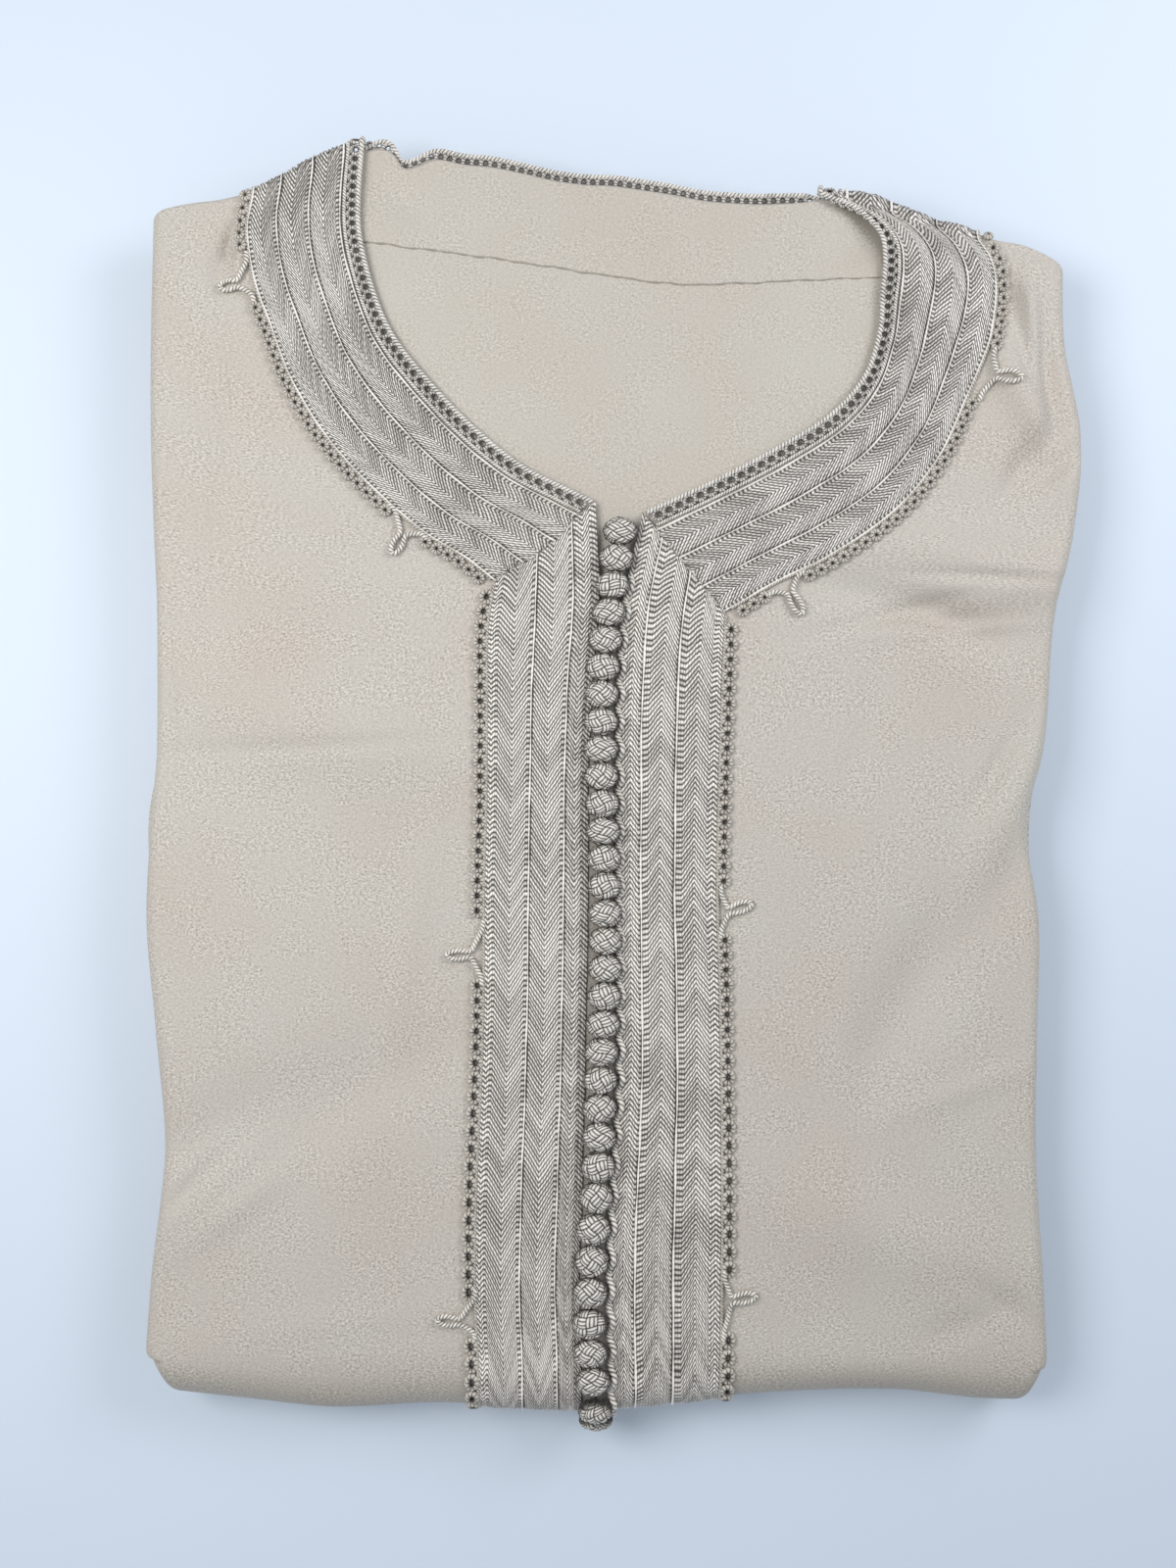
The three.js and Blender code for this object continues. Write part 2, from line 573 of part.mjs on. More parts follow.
// Places along a stretch of a band, one every step of cloth.
function evenPlaces({ band, from, to }, share, step) {
  const FINE = 600;
  const places = [{ band, place: from }];
  let walked = 0;
  let last = bandSkin(band, from, share, 0);
  for (let i = 1; i <= FINE; i += 1) {
    const place = mix(from, to, i / FINE);
    const point = bandSkin(band, place, share, 0);
    walked += point.distanceTo(last);
    last = point;
    if (walked < step) continue;
    places.push({ band, place });
    walked -= step;
  }
  return places;
}

// The corded edging all round the outside of the trim: a strip whose outer side runs in picots, plain
// where a drawn loop leaves it and on the hidden back.
function outerEdging() {
  const left = placketBand("left");
  const right = placketBand("right");
  const [from, to] = OUTER_EDGING;
  const over = neckBand.map((row, i) => (row[1] < shoulderStart(row[0]) ? -1 : i)).filter((i) => i >= 0);
  const places = [
    ...evenPlaces({ band: left, from: left.length - 1, to: 0.12 }, to, SCALLOP.pitch / 2),
    ...evenPlaces({ band: neckBand, from: 0.1, to: over[0] - 0.1 }, to, SCALLOP.pitch / 2),
    ...over.map((place) => ({ band: neckBand, place, hidden: true })),
    ...evenPlaces({ band: neckBand, from: over.at(-1) + 0.1, to: neckBand.length - 1.1 }, to, SCALLOP.pitch / 2),
    ...evenPlaces({ band: right, from: 0.12, to: right.length - 1 }, to, SCALLOP.pitch / 2),
  ];
  const roots = LOOPS.map((loop) => skin(loop.x, loop.y, 0));
  return loft(
    places.map(({ band, place, hidden }, i) => {
      const here = bandSkin(band, place, to, 0);
      const plain = hidden || roots.some((root) => root.distanceTo(here) < LOOP_CLEAR);
      const reach = to - (plain ? SCALLOP.plain : (i % 2) * SCALLOP.dip);
      return [
        [from, 0], [reach, 0], [mix(from, reach, 0.6), SCALLOP.height],
      ].map(([share, h]) => bandSkin(band, place, share, GAP + h));
    }),
  );
}

// The cord that the buttons hang on, lying between them and the right placket.
function buttonCord() {
  const WIDTH = 1.4;
  const band = placketBand("right").filter((row) => row[1] < 70);
  const profile = [[-WIDTH - GAP, 0], [-GAP, 0], [-GAP, 0.8], [-WIDTH - GAP, 0.8]];
  return loft(band.map(([x, run]) => profile.map(([across, h]) => skin(x + across, run, GAP + h))));
}

// ---- Buttons and drawn loops ----
function buttonPlaces() {
  const places = [];
  let run = BUTTON.first;
  for (let i = 0; i < BUTTON.count; i += 1) {
    places.push({ run, x: buttonLine(run) });
    run -= buttonPitch(run);
  }
  return places;
}

// One knotted ball, flat where it sits on the fronts.
function knot({ x, run }) {
  const pitch = buttonPitch(run) - GAP;
  const ball = new THREE.SphereGeometry(0.5, BUTTON_SEGMENTS.round, BUTTON_SEGMENTS.high);
  ball.rotateX(Math.PI / 2);
  ball.scale(BUTTON.across, Math.min(BUTTON.along, pitch), BUTTON.high);
  ball.deleteAttribute("normal");
  ball.deleteAttribute("uv");
  const up = outward(x, run, 0);
  const across = new THREE.Vector3(1, 0, 0);
  const along = up.clone().cross(across).normalize();
  const place = new THREE.Matrix4().makeBasis(across.cross(along).length() ? along.clone().cross(up) : across, along, up);
  place.setPosition(skin(x, run, GAP * 2 + BUTTON.high / 2));
  return mergeVertices(ball.applyMatrix4(place), 1e-4);
}

const LOOP_ROOT = 2.2; // the cord leaves the braid's edge this far out

// Half of a loop's outline as shares of its reach and root: out from the root, a waist, then a round eye.
const LOOP_SHAPE = [
  { out: 0, off: 0.5 },
  { out: 0.2, off: 0.3 },
  { out: 0.42, off: 0.11 },
  { out: 0.66, off: 0.1 },
  { out: 0.88, off: 0.17 },
  { out: 1, off: 0 },
];

// A drawn loop: the edging's own cord, out over the cloth and back.
function drawnLoop(loop) {
  const c = Math.cos(loop.turn * DEGREES);
  const s = Math.sin(loop.turn * DEGREES);
  const half = LOOP_SHAPE.map(({ out, off }) => ({ out: mix(LOOP_ROOT, loop.reach, out), off: off * loop.root }));
  const whole = [...half, ...half.slice(0, -1).reverse().map((p) => ({ out: p.out, off: -p.off }))];
  const points = whole.map(({ out, off }) => {
    const x = loop.x + out * c - off * s;
    const y = loop.y + out * s + off * c;
    return skin(x, y, LOOP_CORD / 2 + 2 * GAP);
  });
  const path = new THREE.CatmullRomCurve3(points);
  const shape = new THREE.Shape();
  shape.absarc(0, 0, LOOP_CORD / 2, 0, 2 * Math.PI);
  const tube = new THREE.ExtrudeGeometry(shape, { steps: 10, curveSegments: 4, extrudePath: path });
  tube.deleteAttribute("normal");
  tube.deleteAttribute("uv");
  return facingOut(mergeVertices(tube, 1e-4));
}

// ---- Hidden layers ----
const RING = { across: 9, along: 11 };

// A closed outline inside the bundle's own, from insets along the sides and lines for both ends.
function outline(z, inset, endAt, topAt, lower) {
  const half = (side, y) => {
    const shift = lower ? lowerReach(y) : Math.min(0, lowerReach(y));
    return SIGN[side] * (sideReach[side](y) + shift - inset);
  };
  const corner = (side, line) => {
    const x = half(side, line(0));
    return { x, y: line(x) };
  };
  const corners = {
    endLeft: corner("left", endAt), endRight: corner("right", endAt),
    topLeft: corner("left", topAt), topRight: corner("right", topAt),
  };
  const points = [];
  for (let i = 0; i < RING.across; i += 1) {
    const x = mix(corners.endLeft.x, corners.endRight.x, i / RING.across);
    points.push(new THREE.Vector3(x, endAt(x), z));
  }
  for (let i = 0; i < RING.along; i += 1) {
    const y = mix(corners.endRight.y, corners.topRight.y, i / RING.along);
    points.push(new THREE.Vector3(half("right", y), y, z));
  }
  for (let i = 0; i < RING.across; i += 1) {
    const x = mix(corners.topRight.x, corners.topLeft.x, i / RING.across);
    points.push(new THREE.Vector3(x, topAt(x), z));
  }
  for (let i = 0; i < RING.along; i += 1) {
    const y = mix(corners.topLeft.y, corners.endLeft.y, i / RING.along);
    points.push(new THREE.Vector3(half("left", y), y, z));
  }
  return points;
}

const CLEAR = CLOTH + 1.2;
const half = (radius, z) => Math.sqrt(Math.max(0, (radius - CLEAR) ** 2 - (z - radius) ** 2));

// The core, wrapped by the fronts: rounded at the lower fold and at the fold beneath the shoulders.
function core() {
  const INSET = SIDE_TURN + TUCK + 3;
  const inEnd = (z) => (x) => endCentre(x) - half(END_TURN, z);
  const inFold = (z) => (x) => underLine(x) - UNDER_TURN + half(UNDER_TURN, z);
  const beforeFold = (x) => underLine(x) - UNDER_TURN - 5;
  const inShoulder = (x) => Math.min(shoulderLine(x), 202) - 6;
  const rings = [1.8, 3.2, 5.6, 9, 12.4, 14.4, 15.8].map((z) => outline(z, INSET, inEnd(z), inFold(z), 0));
  rings.push(outline(16, INSET, inEnd(16), beforeFold, 0));
  rings.push(outline(18.3, INSET, inEnd(18.3), beforeFold, 0));
  rings.push(outline(18.5, INSET, inEnd(18.5), inShoulder, 0));
  rings.push(outline(20.6, INSET, inEnd(20.6), inShoulder, 0));
  return loft(rings);
}

// One folded layer: a slab with a rounded edge that shows along the sides.
function layer({ low, high, inset, edge, endAt, topAt }) {
  const middle = (low + high) / 2;
  const rings = [
    [low, 1], [mix(low, middle, 0.4), 0.25], [middle, 0], [mix(high, middle, 0.4), 0.25], [high, 1],
  ].map(([z, share]) => outline(z, inset + edge * share, endAt, topAt, 1));
  return loft(rings);
}

function foldedLayers() {
  const endAt = (x) => endCentre(x) + 1;
  const topAt = (x) => underLine(x) - UNDER_TURN - 5;
  const low = LEAF + GAP;
  const high = 2 * LEAF - GAP;
  const count = 3;
  const insets = [1.6, 0, 1.1];
  const parts = insets.map((inset, i) =>
    layer({
      low: mix(low, high, i / count) - (i ? 0.15 : 0), high: mix(low, high, (i + 1) / count),
      inset, edge: 1.6, endAt, topAt,
    }),
  );
  return geometryFrom(parts.map(solidOf).reduce((whole, part) => whole.add(part), solidOf(core())));
}

// ---- The kaftan ----
const cloth = new THREE.MeshStandardMaterial({ color: 0xc8c0b8, roughness: 0.62, metalness: 0 });
const inside = new THREE.MeshStandardMaterial({ color: 0xcac2ba, roughness: 0.6, metalness: 0 });
const thread = new THREE.MeshStandardMaterial({ color: 0xb7b4b1, roughness: 0.45, metalness: 0 });

const kaftan = new THREE.Group();
function add(name, geometry, material) {
  const mesh = new THREE.Mesh(geometry, material);
  mesh.name = name;
  kaftan.add(mesh);
}

add("folded_layers", foldedLayers(), cloth);
add("front_left", frontPanel("left"), cloth);
add("front_right", frontPanel("right"), cloth);
add("back", backPanel(), inside);
add("back_neck_facing", backFacing(), inside);
for (const name of ["inner", "middle", "outer"]) {
  const MITRE = 0.02;
  add(`neck_braid_${name}`, braid(neckBand, NECK_SHARES[name], MITRE, MITRE), thread);
  for (const side of ["left", "right"])
    add(`placket_braid_${side}_${name}`, braid(placketBand(side), PLACKET_SHARES[name], MITRE, 0), thread);
}
add("neck_edging", neckEdging(NECK_SHARES.edging), thread);
add("outer_edging", outerEdging(), thread);
add("button_cord", buttonCord(), thread);
buttonPlaces().forEach((place, i) => add(`button_${String(i + 1).padStart(2, "0")}`, knot(place), thread));
LOOPS.forEach((loop, i) => add(`drawn_loop_${loop.side}_${(i % 4) + 1}`, drawnLoop(loop), thread));

const garment = new THREE.Box3();
kaftan.children.filter((mesh) => !mesh.name.startsWith("drawn_loop")).forEach((mesh) => garment.expandByObject(mesh));
const centre = garment.getCenter(new THREE.Vector3());
kaftan.children.forEach((mesh) => mesh.geometry.translate(-centre.x, -centre.y, -garment.min.z));

export default kaftan;
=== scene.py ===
import math
import bpy
import numpy as np
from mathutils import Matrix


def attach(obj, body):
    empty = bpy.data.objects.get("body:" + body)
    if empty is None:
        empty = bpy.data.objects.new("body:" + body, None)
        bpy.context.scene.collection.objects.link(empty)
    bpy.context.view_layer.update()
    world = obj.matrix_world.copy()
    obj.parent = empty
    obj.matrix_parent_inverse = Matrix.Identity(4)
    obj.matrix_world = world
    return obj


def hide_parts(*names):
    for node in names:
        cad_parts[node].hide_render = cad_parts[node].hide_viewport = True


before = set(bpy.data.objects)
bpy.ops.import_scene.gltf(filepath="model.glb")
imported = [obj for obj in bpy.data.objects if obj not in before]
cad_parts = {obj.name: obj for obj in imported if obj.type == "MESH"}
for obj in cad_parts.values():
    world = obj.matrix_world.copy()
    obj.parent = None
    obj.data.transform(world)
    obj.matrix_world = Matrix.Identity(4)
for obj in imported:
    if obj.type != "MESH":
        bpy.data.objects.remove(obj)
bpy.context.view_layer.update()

# ---- Left and right front ----
# Two long panels of crepe-backed satin, matt side out, of a robe folded in three and lying face up. They
# are butted down the middle, turn under along the sides, wrap the lower fold and come back beneath; all
# trim is sewn on their outer face, the skin.
STACK = 27.0  # height of the cloth, in millimetres as all sizes here
END_TURN, SIDE_TURN, SHOULDER_TURN, UNDER_TURN = 13.5, 4.5, 2.2, 8.8  # radii of the folds
TUCK = 4.0  # width turned under past a side fold
WALL = 0.0009  # thickness of the cloth, in metres
MIDDLE = np.array([0.46197, 0.81384, 0.0])  # shift from these places to the frame's origin


def smooth(share):
    """Rises from 0 to 1 with level ends: three squares less two cubes."""
    s = np.clip(share, 0, 1)
    return s * s * (3 - 2 * s)


def mix(a, b, share):
    """A straight blend from a to b."""
    return a + (b - a) * share


def curve(rows, column=1):
    """Smooth curve through table rows: cubics whose slope at a row is the slope between its neighbours."""
    table = np.array(rows, float)
    x, y = table[:, 0], table[:, column]
    slope = np.empty_like(y)
    slope[1:-1] = (y[2:] - y[:-2]) / (x[2:] - x[:-2])
    slope[0], slope[-1] = (y[1] - y[0]) / (x[1] - x[0]), (y[-1] - y[-2]) / (x[-1] - x[-2])

    def at(place):
        i = np.clip(np.searchsorted(x, place) - 1, 0, len(x) - 2)
        span, rise = x[i + 1] - x[i], y[i + 1] - y[i]
        u = np.clip((place - x[i]) / span, 0, 1)
        bend = span * (slope[i] * (1 - u) - slope[i + 1] * u) + rise * (2 * u - 1)
        return y[i] + rise * u + u * (1 - u) * bend

    return at


# height up the garment, reach of the left and right side, and how far the lower fold stands out past it
SIDES = [
    (-214, 148.3, 138, 0), (-199, 152.4, 141.4, -0.5), (-190, 155.2, 144, -1), (-182, 156.6, 145.2, -1),
    (-166, 155.2, 144, -1.5), (-121, 150.5, 141.5, 0.5),
    (-80, 153.5, 142, -0.5), (-45, 156.5, 142.5, -1), (-11, 155, 138.5, 2.5), (14, 153, 144, 0.5),
    (60, 153, 148, -1.5), (85, 154, 154, -3), (118, 155, 156.7, -4), (150, 155, 151, -2), (196, 154, 151, -2),
]
# place across, reach of the lower fold, and reach of the hidden fold beneath the shoulders
ENDS = [
    (-156, -203.5, 186), (-124, -207, 188), (-94, -210, 189), (-60, -208.5, 190), (-10, -210, 188),
    (54, -205, 184), (94, -204, 177), (123, -207, 173), (146, -207.5, 168),
]
SHOULDERS = [
    (-158, 188.5), (-151, 192.8), (-140.6, 195.2), (-130.7, 196.5), (-120.8, 199.2), (-110.9, 203.8), (-101, 209.4),
    (-91, 213.6), (-84, 216.2), (-76, 218), (-60, 218.6), (-40, 217.5), (0, 211.5), (40, 205.5), (58, 203.5),
    (68, 200.2), (77, 198.6), (87, 197), (97, 193), (107, 189.2), (117, 186.6), (127, 183), (137, 181),
    (146.5, 176.6), (158, 169),
]
side_reach = {-1: curve(SIDES, 1), 1: curve(SIDES, 2)}
lower_reach = curve(SIDES, 3)
end_line, under_line = curve(ENDS, 1), curve(ENDS, 2)
shoulder_line = curve(SHOULDERS)
# pressed folds and finer creases: middle, direction in degrees, half length, half width, height
CREASES = [
    (92, 62, -14, 30, 7, -3.96), (112, 56, -30, 16, 6, -2.64), (137, 108, 60, 13, 5, -3.6),
    (131, 164, 70, 20, 5, -2.64), (118, 78, -8, 30, 8, 3.72), (122, 66, 6, 34, 9, 3.6),
    (104, -62, 60, 46, 12, -4.32), (128, -12, 68, 36, 8, 4.08), (137, 128, 118, 24, 6, 4.08),
    (-129, 180, 78, 15, 4, -2.28), (-95, 20, -12, 50, 16, 3.24), (-110, -110, 24, 55, 15, -3.36),
    (95, -150, -20, 45, 16, 3.0), (139, 158, 96, 20, 5, 3.36), (146, 112, 60, 14, 6, -3.0),
    (-134, -128, 36, 40, 10, 2.52), (93, 58, 14, 22, 2.4, -2.16), (124, 70, -3, 22, 1.9, -1.8),
    (112, 52.5, 4, 20, 1.9, 1.68), (-128.5, 184, 74, 10, 1.4, -1.44), (-123.5, 181, 76, 11, 1.8, 1.44),
    (144, 140, 96, 22, 3.0, -2.52), (135, 156, 98, 16, 2.4, -2.16), (149, 108, 40, 9, 3.0, -2.4),
    (127, 6, 62, 18, 3.0, -2.04), (-140, -132, 44, 16, 3.4, -1.68), (-126, -140, 38, 22, 5.0, 1.32),
    (112, -182, 24, 20, 4.5, -1.68), (130, -172, -36, 14, 4.0, -1.56), (-96, 14, 3, 46, 2.4, -0.84),
    (-70, -60, 80, 40, 5, 0.84), (84, 20, 75, 30, 5, -0.84), (75, -110, 86, 38, 6, 0.84),
    (-128, 110, 84, 50, 6, -0.84), (-148, 40, 90, 60, 3, -0.84), (118, -100, 20, 26, 4, 0.84),
    (-100, -180, 8, 44, 5, 0.84),
]


def bell(x, y, px, py, turn, long, wide):
    """A bell curve round a middle, stretched along a direction in degrees."""
    c, s = math.cos(math.radians(turn)), math.sin(math.radians(turn))
    along, across = ((x - px) * c + (y - py) * s) / long, ((y - py) * c - (x - px) * s) / wide
    return np.exp(-along * along - across * across)


def relief(x, y):
    """Height of the creases: a slow wave, and a sum of bell curves, each along its own direction."""
    height = 0.264 * np.sin(x / 19 + 1.3 * np.sin(y / 47)) * np.sin(y / 31 + 0.8 * np.sin(x / 37))
    for *place, high in CREASES:
        height = height + high * bell(x, y, *place)
    return height * smooth((shoulder_line(x) - y - 4) / 14) * smooth((y + 192) / 20)


def back_lift(x, y):
    """How far the back is raised by what is folded beneath it: one broad bell."""
    return 1.4 * bell(x, y, 2, 135, 0, 70, 55)


def skin(x, run, h=0.0):
    """Outer face at cloth coordinates: x across, and the run along the cloth, which is the height y on the
    front. Below the end's centre it goes round the lower fold's circle; past the shoulder's start it goes
    over a small half circle and on down the back's outer face. h lifts it off the face."""
    x, run, h = np.broadcast_arrays(np.asarray(x, float), np.asarray(run, float), np.asarray(h, float))
    start, centre = shoulder_line(x) - SHOULDER_TURN, end_line(x) + END_TURN
    over = np.clip((run - start) / SHOULDER_TURN, 0, np.pi)
    down = np.maximum(run - start - np.pi * SHOULDER_TURN, 0)
    round_end = np.maximum((centre - run) / END_TURN, 0)
    top_y, top_z = run, STACK + h + relief(x, run)
    over_y = start + (SHOULDER_TURN + h) * np.sin(over) - down
    over_z = STACK - SHOULDER_TURN + (SHOULDER_TURN + h) * np.cos(over) + back_lift(x, over_y) * (down > 0)
    end_y = centre - (END_TURN + h) * np.sin(round_end)
    end_z = END_TURN + (END_TURN + h) * np.cos(round_end)
    y = np.where(run > start, over_y, np.where(run < centre, end_y, top_y))
    z = np.where(run > start, over_z, np.where(run < centre, end_z, top_z))
    return np.stack([x, y, z], -1)


def outward(x, run):
    """The skin's direction outwards: how a point moves as it is lifted."""
    step = skin(x, run, 1.0) - skin(x, run, 0.0)
    return step / np.linalg.norm(step, axis=-1, keepdims=True)


def walk_along(points, axis=0):
    """Distance walked along lines of points, from 0 at their first."""
    steps = np.cumsum(np.linalg.norm(np.diff(points, axis=axis), axis=-1), axis)
    return np.concatenate([np.zeros_like(steps.take([0], axis)), steps], axis)


def grid_faces(rows, columns, wrap=False):
    """Corner numbers of a grid's quads, row by row; wrap joins the last column to the first."""
    i, j = np.meshgrid(np.arange(rows - 1), np.arange(columns if wrap else columns - 1), indexing="ij")
    here, there = i * columns + j, i * columns + (j + 1) % columns
    return np.stack([here, there, there + columns, here + columns], -1).reshape(-1, 4)


def mesh_piece(name, points, faces, nodes, material, uv, layers=(), turned=False, corner_uv=False):
    """One finished piece from points in millimetres and quads, with a map at its points or at its quads'
    corners, and attributes at its points."""
    points = (points.reshape(-1, 3) + MIDDLE) * 0.001
    mesh = bpy.data.meshes.new(name)
    mesh.from_pydata(points.tolist(), [], (faces[:, ::-1] if turned else faces).tolist())
    corners = np.empty(len(mesh.loops), np.int32)
    mesh.loops.foreach_get("vertex_index", corners)
    uv = np.asarray(uv, np.float32).reshape(-1, 2)
    layer = mesh.uv_layers.new(name="cloth")
    layer.data.foreach_set("uv", (uv if corner_uv else uv[corners]).ravel())
    for title, values in layers:
        attribute = mesh.attributes.new(title, "FLOAT", "POINT")
        attribute.data.foreach_set("value", np.asarray(values, np.float32).ravel())
    mesh.polygons.foreach_set("use_smooth", np.ones(len(mesh.polygons), bool))
    mesh.update()
    mesh.materials.append(material)
    piece = bpy.data.objects.new(name, mesh)
    bpy.context.scene.collection.objects.link(piece)
    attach(piece, "root")
    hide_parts(*nodes)
    return piece


class Socket:
    """A shader socket that takes part in sums: each operator adds its Math node."""

    def __init__(self, tree, socket):
        self.tree, self.socket = tree, socket

    def node(self, kind, output=0, settings=(), **inputs):
        """A new node: its settings are set first, then its sockets get their values or links."""
        made = self.tree.nodes.new(kind)
        for key, value in dict(settings).items():
            if key == "stops":
                ramp = made.color_ramp
                for k, (place, colour) in enumerate(value):
                    stop = ramp.elements[k] if k < 2 else ramp.elements.new(place)
                    stop.position, stop.color = place, colour
            else:
                setattr(made, key, value)
        for key, value in inputs.items():
            name = key.replace("_", " ").strip()
            socket = made.inputs[int(name)] if name.isdigit() else made.inputs[name]
            if isinstance(value, Socket):
                self.tree.links.new(value.socket, socket)
            else:
                socket.default_value = value
        return Socket(self.tree, made.outputs[output])

    def maths(self, operation, other=0.0, third=0.0):
        return self.node("ShaderNodeMath", settings={"operation": operation}, _0=self, _1=other, _2=third)

    def __add__(self, other):
        return self.maths("ADD", other)

    def __mul__(self, other):
        return self.maths("MULTIPLY", other)

    def __sub__(self, other):
        return self.maths("SUBTRACT", other)

    def __truediv__(self, other):
        return self.maths("DIVIDE", other)

    __radd__, __rmul__ = __add__, __mul__

    def __rsub__(self, other):
        return self.node("ShaderNodeMath", settings={"operation": "SUBTRACT"}, _0=other, _1=self)

    def blend(self, low, high):
        """Colour that goes from low to high with this value."""
        return self.node("ShaderNodeMix", output=2, settings={"data_type": "RGBA"}, _0=self, _6=low, _7=high)


def finish(name, **flat):
    """A new surface finish: its Principled shader's sockets, and a start for its expressions."""
    material = bpy.data.materials.new(name)
    material.use_nodes = True
    tree = material.node_tree
    shader = tree.nodes["Principled BSDF"]
    for key, value in flat.items():
        shader.inputs[key.replace("_", " ")].default_value = value
    return material, shader, Socket(tree, shader.outputs[0])


def feed(shader, name, value):
    """Joins an expression to one of the shader's sockets."""
    value.tree.links.new(value.socket, shader.inputs[name])


def srgb(r, g, b):
    """A colour as the eye names it, 0 to 255, in linear light."""
    value = np.array([r, g, b]) / 255
    linear = np.where(value <= 0.04045, value / 12.92, ((value + 0.055) / 1.055) ** 2.4)
    return (*linear.tolist(), 1.0)


# height up the garment, and place across of the line where the fronts meet under the buttons
BUTTON_LINE = [
    (-235, -5.6), (-206, -5.9), (-180, -7.9), (-148, -6.7), (-127, -5), (-95, -4.3), (-60, -2.6), (-24, -3),
    (10, -4), (40, -3.4), (66, -0.3), (85, 2.3),
]
button_line = curve(BUTTON_LINE)
# neck band on the front: inner edge x and y, outer edge x and y, and height on the side fold
NECK = {
    -1: [
        (-84.2, 197, -126, 184, 183), (-83.8, 183.8, -123.4, 167.3, 172), (-79.5, 165.7, -118, 152.5, 158),
        (-73, 150.8, -111, 134.3, 142), (-61.4, 136, -99.3, 114.5, 126), (-46.5, 120.5, -82.8, 96.4, 110),
        (-30, 107.3, -66.3, 82.2, 94), (-15.2, 99.7, -53, 74, 78), (-6, 95.4, -43.2, 65.7, 62),
    ],
    1: [
        (79.8, 193, 130.4, 174, 168.5), (88, 185, 131.8, 165, 159), (89.6, 176, 130.8, 154.5, 149),
        (88.8, 165.5, 127.4, 142.6, 137), (88, 152.5, 120, 126, 122), (83.2, 137.6, 110.9, 107.3, 106),
        (72.3, 125, 96.4, 89.1, 90), (55.8, 114.5, 74, 73.3, 76), (36, 104, 55.8, 64.4, 64),
        (9.6, 91.7, 40.3, 55.1, 52),
    ],
}
SHOULDER_EDGE = {-1: (-83, -124), 1: (68, 127)}  # the band's two edges at the shoulder fold
CLOTH_EDGE = 0.135  # share of the band's width that the cloth's own edge stays back under it


